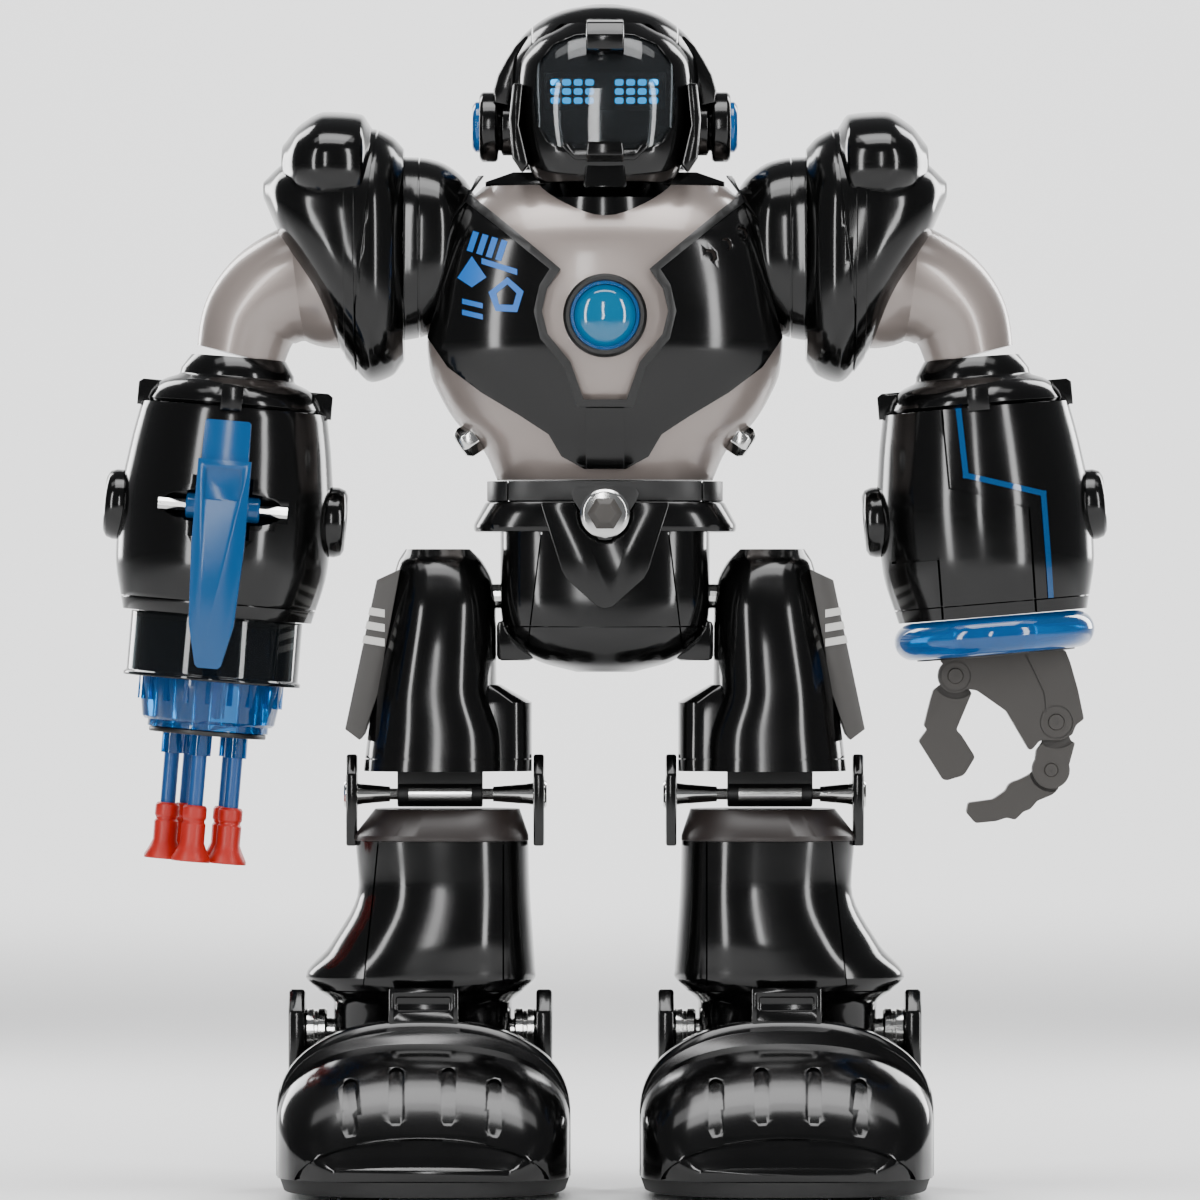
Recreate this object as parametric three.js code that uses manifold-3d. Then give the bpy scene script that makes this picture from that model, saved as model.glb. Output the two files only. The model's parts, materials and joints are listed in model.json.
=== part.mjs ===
// A toy robot that rolls on wheels in its feet, fires suction darts from its right forearm and grips with
// a claw on its left. Millimetres, +Z up, facing -Y, ground at z = 0. The robot's right arm is on the -X side.
import * as THREE from "three";
import { mergeVertices } from "three/addons/utils/BufferGeometryUtils.js";
import Module from "manifold-3d";

const wasm = await Module();
wasm.setup();

// ---- driving dimensions ----
const wall = 2.2; // moulded shell thickness
const fitGap = 0.3; // between pieces that are fixed to each other
const runGap = 0.5; // between pieces that move past each other
const facets = 14; // sides of a body's cross-section
const innerFacets = 8; // of the hollow inside it

const footLength = 130;
const heelReach = 59; // from the leg's axis back to the heel
const footWidth = 90.5;
const footX = 55.8; // centre of a foot from the robot's middle
const soleUnder = 3; // height of the sole's underside
const soleThick = 4.7;
const wheelRadius = 9;
const wheelWidth = 12.8;
const wheelX = 75.2;
const frontWheelY = -45;
const rearWheelY = 38;

const ankleHeight = 51;
const shinLength = 73.5; // ankle axis to knee axis
const thighLength = 61.5; // knee axis to hip axis
const pelvisHeight = 29.5; // hip axis to the belt
const beltThick = 6.5;
const torsoHeight = 91;
const shoulderRise = 66; // belt to the shoulder axis
const headRise = 57; // neck to the crown

const kneeHeight = ankleHeight + shinLength;
const hipHeight = kneeHeight + thighLength;
const beltBottom = hipHeight + pelvisHeight;
const waistHeight = beltBottom + beltThick;
const shoulderHeight = waistHeight + shoulderRise;
const neckHeight = waistHeight + torsoHeight;

const pelvisHalfWidth = 32.5;
const pelvisFront = -28;
const pelvisBack = 25;
const legInner = pelvisHalfWidth + 1.4; // inner face of a thigh from the robot's middle
const legOuter = 75;
const hipAxleRadius = 4;
const kneePinRadius = 1.75;
const anklePinRadius = 4;
const kneePlateThick = 3.3;
const anklePlateThick = 5;

const chestHalfWidth = 55.2;
const chestFront = -38;
const chestBack = 33;
const waistPostRadius = 11;
const neckPostRadius = 8;
const lensRadius = 12.4;
const lensDrop = 40.5; // neck to the chest lens's centre
const armorThick = 2.3;

const yokeOuter = 61.5; // outer face of a shoulder housing from the robot's middle
const shoulderPinRadius = 6;
const armorInner = yokeOuter + 1;
const armorOuter = 106;
const ballRadius = 22;
const ballX = 83.4;
const sleeveRadius = 14;
const elbowX = 113.8;
const elbowDrop = 27.4; // shoulder axis to the elbow
const forearmTilt = THREE.MathUtils.degToRad(4.8);

const forearmRadius = 33.4;
const forearmTop = -16.3;
const forearmBottom = -81;
const sideCapRadius = 11;
const sideCapThick = 4.3;
const sideCapZ = -49;

const leverPinRadius = 2.1;
const leverPinZ = -47.6;
const leverPinY = -27;
const leverHalfWidth = 8.2;
const leverPinHalf = 20;
const sleeveOuter = 26.7;
const muzzleLength = 20;
const drumRadius = 22.4;
const drumLength = 32;
const dartCount = 5;
const dartCircle = 10.5;
const dartShaftRadius = 2.35;
const dartCupRadius = 6.05;
const tubeWall = 0.6;
const tubeReach = 8;

const ringRadius = 31.2;
const ringThick = 11.5;
const clawThick = 9;
const tongueThick = 4;
const knuckleRadius = 4.6;
const rivetRadius = 1.5;

const helmetHalfWidth = 32.5;
const earRadius = 10.7;
const earDrop = 38.2; // crown to the ears' axis

// ---- colours ----
const plastic = (color, roughness = 0.2) => new THREE.MeshStandardMaterial({ color, roughness, metalness: 0 });
const black = plastic(0x0b0c0d, 0.12);
const darkGrey = plastic(0x3a3836, 0.4);
const warmGrey = plastic(0x8d8480, 0.3);
const blue = plastic(0x0f77c0, 0.25);
const clearBlue = new THREE.MeshStandardMaterial({ color: 0x1593d2, roughness: 0.1, transparent: true, opacity: 0.5 });
const smoke = new THREE.MeshStandardMaterial({ color: 0x1c2a2e, roughness: 0.1, transparent: true, opacity: 0.7 });
const red = plastic(0xd23a26, 0.45);
const green = plastic(0x1d5a36, 0.5);
const steel = new THREE.MeshStandardMaterial({ color: 0xc8c8c8, roughness: 0.2, metalness: 1 });
const rubber = plastic(0x161616, 0.8);

// ---- solids ----
function solidOf(geometry) {
  const bare = geometry.index ? geometry.toNonIndexed() : geometry.clone();
  bare.deleteAttribute("normal");
  bare.deleteAttribute("uv");
  const merged = mergeVertices(bare, 1e-3);
  const triVerts = new Uint32Array(merged.index.array);
  const made = () => new wasm.Manifold(
    new wasm.Mesh({ numProp: 3, vertProperties: merged.attributes.position.array, triVerts }),
  );
  const first = made();
  if (first.volume() > 0) return first;
  for (let i = 0; i < triVerts.length; i += 3) [triVerts[i], triVerts[i + 1]] = [triVerts[i + 1], triVerts[i]];
  return made();
}

// A closed body through rings of equally many points.
function skin(rings) {
  const count = rings[0].length;
  const points = rings.flat();
  const middles = [rings[0], rings.at(-1)].map((ring) =>
    ring.reduce((sum, p) => sum.add(p), new THREE.Vector3()).divideScalar(count));
  const faces = [];
  for (let i = 0; i < rings.length - 1; i++) {
    for (let j = 0; j < count; j++) {
      const a = i * count + j;
      const b = i * count + ((j + 1) % count);
      faces.push(a, b, b + count, a, b + count, a + count);
    }
  }
  const last = (rings.length - 1) * count;
  const start = points.length;
  for (let j = 0; j < count; j++) {
    const k = (j + 1) % count;
    faces.push(start, k, j, start + 1, last + j, last + k);
  }
  const geometry = new THREE.BufferGeometry().setFromPoints([...points, ...middles]);
  geometry.setIndex(faces);
  return solidOf(geometry);
}

const signedPower = (value, power) => Math.sign(value) * Math.abs(value) ** power;

// Rings across an axis between low and high bounds of the other two axes. Each station is
// [along, lowA, highA, lowB, highB, squareness]; grow pushes every side out by that much.
function loft(axis, stations, grow = 0, sides = grow < -1 ? innerFacets : facets) {
  const end = stations.length - 1;
  return skin(stations.map(([along, lowA, highA, lowB, highB, squareness = 2.5], i) => {
    const at = along + (i === 0 ? -grow : i === end ? grow : 0) * Math.sign(stations[end][0] - stations[0][0]);
    const ring = [];
    for (let j = 0; j < sides; j++) {
      const angle = (2 * Math.PI * j) / sides;
      const a = (lowA + highA) / 2 + ((highA - lowA) / 2 + grow) * signedPower(Math.cos(angle), 2 / squareness);
      const b = (lowB + highB) / 2 + ((highB - lowB) / 2 + grow) * signedPower(Math.sin(angle), 2 / squareness);
      ring.push(axis === "z" ? new THREE.Vector3(a, b, at)
        : axis === "x" ? new THREE.Vector3(at, a, b) : new THREE.Vector3(a, at, b));
    }
    return ring;
  }));
}

function box(x0, x1, y0, y1, z0, z1) {
  return solidOf(new THREE.BoxGeometry(x1 - x0, y1 - y0, z1 - z0)
    .translate((x0 + x1) / 2, (y0 + y1) / 2, (z0 + z1) / 2));
}

// A cylinder from one end to the other along X, Y or Z.
function rod(axis, radius, from, to, [a, b], sides = 10) {
  const geometry = new THREE.CylinderGeometry(radius, radius, to - from, sides);
  const middle = (from + to) / 2;
  if (axis === "x") return solidOf(geometry.rotateZ(Math.PI / 2).translate(middle, a, b));
  if (axis === "y") return solidOf(geometry.translate(a, middle, b));
  return solidOf(geometry.rotateX(Math.PI / 2).translate(a, b, middle));
}

// A body of revolution about Z from [radius, height] points.
function turned(profile, sides = 18) {
  const points = profile.map(([r, z]) => new THREE.Vector2(r, z));
  return solidOf(new THREE.LatheGeometry(points, sides).rotateX(Math.PI / 2));
}

// An outline drawn in the front view, [x, z] points, between two depths.
function plate(outline, y0, y1) {
  const shape = new THREE.Shape(outline.map(([x, z]) => new THREE.Vector2(x, z)));
  return solidOf(new THREE.ExtrudeGeometry(shape, { depth: y1 - y0, bevelEnabled: false })
    .rotateX(Math.PI / 2).translate(0, y1, 0));
}

const everything = 400;
const frontHalf = (depth) => box(-everything, everything, -everything, depth, -everything, everything);
const backHalf = (depth) => box(-everything, everything, depth, everything, -everything, everything);

function mesh(name, solid, material) {
  const { numProp, vertProperties, triVerts } = solid.simplify(0.15).getMesh();
  const geometry = new THREE.BufferGeometry();
  geometry.setAttribute("position", new THREE.BufferAttribute(vertProperties, numProp));
  geometry.setIndex(new THREE.BufferAttribute(triVerts, 1));
  geometry.computeVertexNormals();
  const made = new THREE.Mesh(geometry, material);
  made.name = name;
  return made;
}

// The largest piece of a solid, where cutting leaves loose slivers.
function main(solid) {
  return solid.decompose().reduce((best, piece) => (piece.volume() > best.volume() ? piece : best));
}

// A moving body: its group sits on the joint's axis.
function joint(name, parent, x, y, z) {
  const group = new THREE.Group();
  group.name = name;
  group.position.set(x, y, z);
  parent.add(group);
  return group;
}

// ---- pelvis, the body that carries everything ----
const pelvisStations = [
  [-23.5, -9, 9, -14, 12, 2.2],
  [-20.5, -20, 20, -21, 18, 2.4],
  [-15.5, -28, 28, -25.5, 22, 2.7],
  [-9.5, -31.8, 31.8, -27.5, 24.4, 3],
  [0, -pelvisHalfWidth, pelvisHalfWidth, pelvisFront, pelvisBack, 3.4],
  [pelvisHeight - 9.6, -pelvisHalfWidth, pelvisHalfWidth, pelvisFront, pelvisBack, 3.4],
];
const skirtStations = [
  [pelvisHeight - 9.6, -pelvisHalfWidth - 8.3, pelvisHalfWidth + 8.3, pelvisFront - 3, pelvisBack + 3, 4],
  [pelvisHeight - fitGap, -pelvisHalfWidth - 4.5, pelvisHalfWidth + 4.5, pelvisFront - 1, pelvisBack + 1, 4],
];
const buttonZ = pelvisHeight - 4.1;
const buttonRadius = 9.2;

function pelvisShells() {
  const outside = loft("z", pelvisStations).add(loft("z", skirtStations));
  const inside = loft("z", pelvisStations.map((s, i) => (i === pelvisStations.length - 1
    ? [pelvisHeight, ...s.slice(1)] : s)), -wall).add(rod("z", waistPostRadius + runGap, 0, everything, [0, 0], 20));
  const hipHole = rod("x", hipAxleRadius + fitGap, -everything, everything, [0, 0]);
  const button = rod("y", buttonRadius + fitGap, -everything, 0, [0, buttonZ], 20);
  const shell = outside.subtract(inside).subtract(hipHole);
  return [
    mesh("pelvis_front", main(shell.intersect(frontHalf(-fitGap / 2)).subtract(button)), black),
    mesh("pelvis_back", main(shell.intersect(backHalf(fitGap / 2))), black),
  ];
}

function waistBelt() {
  const half = pelvisHalfWidth + 4.1;
  const band = loft("z", [
    [pelvisHeight, -half, half, pelvisFront - 1, pelvisBack + 1.5, 4.5],
    [pelvisHeight + beltThick - runGap, -half + 0.6, half - 0.6, pelvisFront - 0.6, pelvisBack + 1, 4.5],
  ]);
  const post = rod("z", waistPostRadius, pelvisHeight - 12, pelvisHeight + beltThick + 7, [0, 0], 20);
  const cableWay = rod("z", waistPostRadius - wall * 1.5, 0, everything, [0, 0]);
  const button = rod("y", buttonRadius + fitGap, -everything, pelvisFront + 6, [0, buttonZ], 20);
  return mesh("waist_belt", band.add(post).subtract(cableWay).subtract(button), black);
}

// A round push button that sits half in the belt and half in the pelvis cover.
function waistButton() {
  const face = pelvisFront - 4.6;
  const cap = rod("y", buttonRadius, face + 1.4, pelvisFront + 4.2, [0, buttonZ], 20);
  const crown = rod("y", buttonRadius - 2.6, face, face + 2, [0, buttonZ], 20);
  return mesh("waist_button", cap.add(crown), steel);
}

function hipAxle() {
  return mesh("hip_axle", rod("x", hipAxleRadius, -legInner - 22, legInner + 22, [0, 0], 16), steel);
}

// ---- torso, relative to the waist ----
const torsoStations = [
  [0, -33.5, 33.5, -22, 22, 2.8],
  [0.1 * torsoHeight, -37.6, 37.6, -26, 25, 2.7],
  [0.2 * torsoHeight, -46.4, 46.4, -31, 28, 2.6],
  [0.37 * torsoHeight, -54.3, 54.3, -36.4, 32, 2.6],
  [0.47 * torsoHeight, -chestHalfWidth, chestHalfWidth, chestFront, chestBack, 2.6],
  [0.75 * torsoHeight, -52, 52, -37, 32.4, 2.6],
  [0.91 * torsoHeight, -46, 46, -31, 29, 2.6],
  [torsoHeight, -38, 38, -23, 24, 2.6],
];
const lensZ = torsoHeight - lensDrop;
const collarY = -8;
const collarRadius = 24;
const collarDeep = 14;
const doorHalfWidth = 21;
const doorBottom = 16;
const doorTop = 62;
const switchZ = 8.5;
const switchTravel = 4;
const switchHalf = 3;

// A shoulder housing in the limb's frame, X outwards, relative to the shoulder axis.
function yokeBody(grow) {
  return loft("x", [
    [yokeOuter - 21.5, -13, 13, 0, 22, 2.2],
    [yokeOuter - 17.5, -22, 22, -11, 28, 2.3],
    [yokeOuter - 10, -27, 27, -19, 33, 2.5],
    [yokeOuter, -27.5, 27.5, -22.5, 34.5, 2.5],
  ], grow);
}

const bothSides = (solid) => solid.add(solid.mirror([1, 0, 0]));
const torsoSkin = (grow) => loft("z", torsoStations, grow);

function collarCore(grow) {
  return rod("z", collarRadius + grow, torsoHeight - collarDeep - grow, torsoHeight + 3.4, [0, collarY], 24);
}

function torsoShell() {
  const hollow = torsoSkin(0).subtract(torsoSkin(-wall));
  return hollow
    .subtract(bothSides(yokeBody(fitGap)).translate([0, 0, shoulderRise]))
    .subtract(collarCore(fitGap))
    .subtract(rod("z", neckPostRadius + runGap, torsoHeight - 30, everything, [0, 0]))
    .subtract(rod("z", waistPostRadius + runGap, -everything, 12, [0, 0], 20));
}

function torsoFront() {
  const lensHole = rod("y", lensRadius + fitGap, -everything, -10, [0, lensZ], 24);
  return mesh("torso_front", main(torsoShell().intersect(frontHalf(-fitGap / 2)).subtract(lensHole)), warmGrey);
}

function doorBlock(grow) {
  return box(-doorHalfWidth - grow, doorHalfWidth + grow, 10, everything, doorBottom - grow, doorTop + grow);
}

function torsoBack() {
  const slot = box(-switchHalf - fitGap, switchHalf + switchTravel + fitGap, 10, everything, switchZ - 2, switchZ + 2);
  const cut = torsoShell().intersect(backHalf(fitGap / 2)).subtract(doorBlock(runGap)).subtract(slot);
  return mesh("torso_back", main(cut), warmGrey);
}

// Hinged at its lower edge, it opens backwards and down.
function batteryDoor(group) {
  const skinPiece = torsoSkin(0).subtract(torsoSkin(-wall)).intersect(doorBlock(0));
  const made = mesh("battery_door", main(skinPiece), warmGrey);
  made.position.copy(group.position).negate();
  group.add(made);
}

function powerSwitch(group) {
  const slider = box(-switchHalf, switchHalf, 20, 28, switchZ - 2 + fitGap, switchZ + 2 - fitGap);
  const made = mesh("power_switch", slider, black);
  group.add(made);
}

// The battery compartment with its two cells in place, behind the door.
function batteryBox() {
  const tray = box(-18.5, 18.5, 5, 17, doorBottom + 1.5, doorTop - 5);
  return mesh("battery_box", [-9, 9].reduce((all, x) =>
    all.add(rod("z", 6.8, doorBottom + 3.5, doorTop - 7, [x, 15.5], 12)), tray), black);
}

function circuitBoard() {
  const board = box(-30, 30, -14, -12.4, 17, 45);
  const chips = [[-22, -12, 24, 34], [-6, 8, 20, 30], [14, 24, 27, 39]];
  return mesh("circuit_board", chips.reduce((all, [x0, x1, z0, z1]) =>
    all.add(box(x0, x1, -15.6, -13.8, z0, z1)), board), green);
}

// Outline of the chest cover's right half, in the front view from the waist, from the shoulder round to the middle.
function chestArmor() {
  const rightHalf = [
    [42, torsoHeight + 1], [54.5, 43], [48.5, 35], [38, 27.5], [26, 20.5], [17.5, 14.5], [13.5, 8], [6.2, 3.6],
  ];
  const keyhole = [[6.8, 24.5], [11.2, 35.5], [18.4, 44], [20.3, 51.5], [18.2, 59], [14.2, 64.6], [31.5, 79.5]];
  const edge = [...rightHalf, ...rightHalf.toReversed().map(([x, z]) => [-x, z])];
  const opening = [...keyhole, [36.5, torsoHeight + 2], [-36.5, torsoHeight + 2],
    ...keyhole.toReversed().map(([x, z]) => [-x, z])];
  const layer = torsoSkin(armorThick + fitGap).subtract(torsoSkin(fitGap));
  const cover = layer.intersect(plate(edge, -everything / 4, -8)).subtract(plate(opening, -everything / 4, 0))
    .subtract(bothSides(yokeBody(fitGap)).translate([0, 0, shoulderRise]));
  return mesh("chest_armor", main(cover), black);
}

function neckCollar() {
  const half = 37.6;
  const flange = loft("z", [
    [torsoHeight + fitGap, -half, half, -20, 24, 3.5],
    [torsoHeight + 4.6, -half + 9, half - 9, -14, 20, 3],
  ]);
  const hole = rod("z", neckPostRadius + runGap, 0, everything, [0, 0]);
  const chinRoom = rod("z", 44, torsoHeight - 4, everything, [0, 0], 24).intersect(frontHalf(4));
  return mesh("neck_collar", main(collarCore(0).add(flange).subtract(hole).subtract(chinRoom)), black);
}

// A domed light in the chest.
function chestLens() {
  const back = chestFront + 8;
  const front = chestFront - 3.4;
  const dome = turned([[0, back], [lensRadius, back], [lensRadius, chestFront - 0.2], [lensRadius - 2, chestFront - 1],
    [lensRadius * 0.62, front + 0.8], [0, front]].map(([r, y]) => [r, y]), 24);
  return mesh("chest_lens", dome.rotate([-90, 0, 0]).translate([0, 0, lensZ]), clearBlue);
}

function shoulderYoke(side) {
  const cup = yokeBody(0).subtract(yokeBody(-wall).add(loft("x", [
    [yokeOuter - 40, -10, 10, 2, 18, 2.2], [yokeOuter - 17, -18, 18, -7, 24, 2.2]])));
  const pin = rod("x", shoulderPinRadius, yokeOuter - 1, yokeOuter + 12, [0, 0]);
  return mesh(`shoulder_yoke_${side}`, main(cup.add(pin)), black);
}

// ---- head, relative to the neck ----
const crown = headRise;
const earZ = crown - earDrop;
const helmetStations = [
  [5.5, -25, 25, -18, 24, 2.3],
  [11, -29.5, 29.5, -22, 29, 2.3],
  [crown - 26, -helmetHalfWidth, helmetHalfWidth, -26, 33, 2.2],
  [crown - 18, -31, 31, -26, 32, 2.2],
  [crown - 8, -23.4, 23.4, -19.5, 25, 2.1],
  [crown - 1.3, -10, 10, -8, 11, 2],
  [crown, -3, 3, -2, 4, 2],
];
const faceOuter = [
  [0.7, -20.5, 20.5, -33, 0, 2.7],
  [4, -22.8, 22.8, -34.8, 0, 2.8],
  [13, -25, 25, -36, 0, 2.8],
  [27, -27, 27, -35.5, 0, 2.6],
  [37, -26, 26, -33, 0, 2.4],
  [45, -19, 19, -28, 0, 2.2],
];
const visorOutline = [
  [13, 11], [18.5, 16.5], [21.3, 26], [20.5, 36], [14, 43], [0, 45.5],
];

function visorWindow(grow) {
  const right = visorOutline.map(([x, z]) => [x + grow, z + (z > 26 ? grow : -grow)]);
  const left = right.slice(0, -1).toReversed().map(([x, z]) => [-x, z]);
  return plate([...right, ...left], -everything, -13);
}

function helmet() {
  const dome = loft("z", helmetStations).subtract(loft("z", helmetStations, -wall));
  const cutFace = loft("z", [
    [-10, -27.3, 27.3, -60, -14, 5],
    [crown - 24, -28, 28, -60, -14, 4],
    [crown - 6, -20, 20, -60, -14, 3],
  ]);
  const post = rod("z", neckPostRadius, -16, 12, [0, 0]).add(box(-24, 24, -4, 4, 5.5, 9));
  const ears = rod("x", 4 + fitGap, -everything, everything, [0, earZ]);
  return mesh("helmet_shell", main(dome.subtract(cutFace).add(post).subtract(ears)
    .subtract(rod("z", neckPostRadius - wall, -everything, 30, [0, 0]))), black);
}

function visorFrame() {
  const shell = loft("z", faceOuter).subtract(loft("z", faceOuter, -wall)).intersect(frontHalf(-17 - fitGap));
  const brow = box(-5.4, 5.4, -35.5, -26, 40.5, 49);
  const chin = loft("z", [[-3, -6, 6, -38.5, -30, 5], [12, -4.2, 4.2, -37.5, -30, 5]]);
  const frame = shell.add(brow).subtract(visorWindow(0).translate([0, 0, 0])).add(chin);
  const clear = loft("z", helmetStations, fitGap).intersect(backHalf(-19.5));
  return mesh("visor_frame", main(frame.subtract(clear)), black);
}

function visorLens() {
  const sheet = loft("z", faceOuter, -0.6).subtract(loft("z", faceOuter, -0.6 - 1.5));
  const chin = loft("z", [[-3, -6.4, 6.4, -40, -30, 5], [12.3, -4.6, 4.6, -40, -30, 5]]);
  return mesh("visor_lens", main(sheet.intersect(visorWindow(-fitGap)).subtract(chin)
    .subtract(box(-5.7, 5.7, -40, -20, 40.2, 60))), smoke);
}

function eyeBoard() {
  const board = box(-17, 17, -22.6, -21, 20, 38);
  const eyes = [-9.3, 9.3].map((x) => box(x - 7, x + 7, -24, -22.4, 27, 34));
  return mesh("eye_led_board", eyes.reduce((all, eye) => all.add(eye), board), green);
}

function earPod(side, sign) {
  const pod = rod("x", earRadius, helmetHalfWidth + 0.4, helmetHalfWidth + 6.4, [0, earZ], 24)
    .add(rod("x", 8.8, helmetHalfWidth - 0.2, helmetHalfWidth + 1, [0, earZ], 20))
    .add(rod("x", 7.7, helmetHalfWidth + 6, helmetHalfWidth + 8.8, [0, earZ], 12))
    .add(rod("x", 4, helmetHalfWidth - 6, helmetHalfWidth + 1, [0, earZ], 16));
  const clear = loft("z", helmetStations, fitGap).subtract(rod("x", 4.1, -everything, everything, [0, earZ], 16));
  const made = mesh(`ear_pod_${side}`, main(pod.subtract(clear)), black);
  made.scale.x = sign;
  return made;
}

// ---- arms, in the limb's frame: X outwards, relative to the shoulder axis ----
const armorStations = [
  [armorInner, -25, 25, -29, 37, 2.4],
  [armorInner + 10, -33.5, 33.5, -35.5, 43.5, 2.4],
  [armorInner + 18, -34, 34, -27, 42.5, 2.3],
  [armorInner + 28, -32, 32, -10, 38, 2.2],
  [armorInner + 38, -25, 25, 10, 32.6, 2.1],
  [armorOuter, -8, 8, 22, 26.5, 2],
];
const ballZ = -3;
const elbow = new THREE.Vector3(elbowX, 0, -elbowDrop);
const sleevePath = new THREE.QuadraticBezierCurve3(
  new THREE.Vector3(ballX + 8, 0, ballZ - 1),
  new THREE.Vector3(elbowX - 1.2, 0, ballZ - 6),
  elbow,
);

function sleeveBody(radius, reach) {
  const rings = [0, 0.35, 0.68, 1].map((t) => {
    const at = sleevePath.getPoint(t);
    const along = t === 1 ? new THREE.Vector3(Math.sin(forearmTilt), 0, -Math.cos(forearmTilt)) : sleevePath.getTangent(t);
    if (t === 1) at.addScaledVector(along, reach);
    const across = new THREE.Vector3(-along.z, 0, along.x);
    return Array.from({ length: 12 }, (_, j) => {
      const angle = (2 * Math.PI * j) / 12;
      return at.clone().addScaledVector(across, radius * Math.cos(angle))
        .add(new THREE.Vector3(0, radius * Math.sin(angle), 0));
    });
  });
  return skin(rings);
}

const ball = (radius) => solidOf(new THREE.SphereGeometry(radius, 12, 8)).translate([ballX, 0, ballZ]);

function upperArm(side) {
  const solid = ball(ballRadius).add(sleeveBody(sleeveRadius, 0));
  const inside = ball(ballRadius - wall).add(sleeveBody(sleeveRadius - wall, 1));
  const bore = rod("x", shoulderPinRadius + fitGap, -everything, ballX, [0, 0]);
  return mesh(`upper_arm_${side}`, main(solid.subtract(inside).subtract(bore)), warmGrey);
}

function shoulderArmor(side) {
  const cap = loft("x", [
    [armorInner + 10, -25, 25, 22, 44, 2.4],
    [armorInner + 14, -34, 34, 14, 48, 2.4],
    [armorInner + 24, -36, 36, 15, 48.4, 2.4],
    [armorInner + 34, -31, 31, 20, 43, 2.3],
    [armorInner + 37.5, -20, 20, 25, 38, 2.1],
  ]);
  const hollow = loft("x", armorStations, -wall);
  const bore = rod("x", shoulderPinRadius + fitGap, 0, armorInner + 6, [0, 0]);
  const cut = ball(ballRadius + fitGap).add(sleeveBody(sleeveRadius + fitGap, 4));
  return mesh(`shoulder_armor_${side}`, main(loft("x", armorStations).add(cap).subtract(hollow)
    .subtract(bore).subtract(cut)), black);
}

// ---- forearms, relative to the elbow with the forearm's axis along Z ----
const barrelStations = [
  [forearmBottom, 29.4], [-64, 33], [sideCapZ, forearmRadius], [-30, 31.4], [forearmTop, 28.9],
].map(([z, r]) => [z, -r, r, -r, r, 2]);

function sideCap(grow) {
  return rod("x", sideCapRadius + grow, forearmRadius - 1 - grow, forearmRadius + sideCapThick, [0, sideCapZ], 20);
}

function forearmCap(side) {
  const dome = turned([[0, forearmTop + fitGap], [26.4, forearmTop + fitGap], [26.4, -13.2], [24.5, -10.2], [18, -7],
    [17.6, -5], [sleeveRadius + 0.6, -runGap], [0, -runGap]]);
  const tabs = [0, 90, 180, 270].map((turn) =>
    box(22, 30.2, -2.7, 2.7, -14.6, -9.6).rotate([0, 0, turn]));
  return mesh(`forearm_cap_${side}`, tabs.reduce((all, tab) => all.add(tab), dome), black);
}

function forearmShells(side, withLever) {
  const tube = loft("z", barrelStations).subtract(loft("z", barrelStations.map((s, i) =>
    (i === 0 ? [s[0] - 9, ...s.slice(1)] : i === barrelStations.length - 1 ? [s[0] + 9, ...s.slice(1)] : s)), -wall));
  let front = tube.intersect(frontHalf(-fitGap / 2)).subtract(bothSides(sideCap(fitGap)));
  if (withLever) {
    const slot = box(-leverHalfWidth - runGap, leverHalfWidth + runGap, -everything, 0, leverPinZ - 9, leverPinZ + 9);
    const groove = rod("x", leverPinRadius + 2.6, -leverPinHalf, leverPinHalf, [leverPinY, leverPinZ]);
    const bearing = rod("x", leverPinRadius + fitGap, -everything, everything, [leverPinY, leverPinZ]);
    const ears = box(leverPinHalf - 3.4, leverPinHalf, leverPinY - 2.4, leverPinY + 5, leverPinZ - 4, leverPinZ + 4);
    front = front.subtract(slot).subtract(groove)
      .add(bothSides(ears.intersect(loft("z", barrelStations, -0.05)))).subtract(bearing);
  }
  const back = tube.intersect(backHalf(fitGap / 2)).add(bothSides(sideCap(0)));
  return [mesh(`forearm_front_${side}`, main(front), black), mesh(`forearm_back_${side}`, main(back), black)];
}

// ---- dart launcher on the right forearm ----
const muzzleTop = forearmBottom - fitGap;
const muzzleEnd = muzzleTop - muzzleLength;
const drumTop = muzzleTop - 3.2;
const drumEnd = drumTop - drumLength;
const spindleRadius = 3;
const dartRoot = drumTop - 9;
const shaftEnd = drumEnd - 24;
const cupEnd = shaftEnd - 17;

function barrelSleeve() {
  const tube = turned([[0, muzzleTop], [sleeveOuter, muzzleTop], [sleeveOuter, muzzleEnd + 1.4],
    [sleeveOuter + 0.9, muzzleEnd + 0.9], [sleeveOuter + 0.9, muzzleEnd], [sleeveOuter - wall, muzzleEnd],
    [sleeveOuter - wall, muzzleTop - 2], [0, muzzleTop - 2]]);
  const neck = rod("z", 24.6, muzzleTop - 1, muzzleTop + 6, [0, 0], 18);
  return mesh("barrel_sleeve", tube.add(neck).add(rod("z", spindleRadius, drumEnd + 6, muzzleTop, [0, 0])), smoke);
}

const dartAngles = Array.from({ length: dartCount }, (_, i) =>
  THREE.MathUtils.degToRad(8) + (2 * Math.PI * (i + 0.5)) / dartCount + Math.PI / 2);
const dartPlaces = dartAngles.map((angle) => [dartCircle * Math.cos(angle), dartCircle * Math.sin(angle)]);

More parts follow.
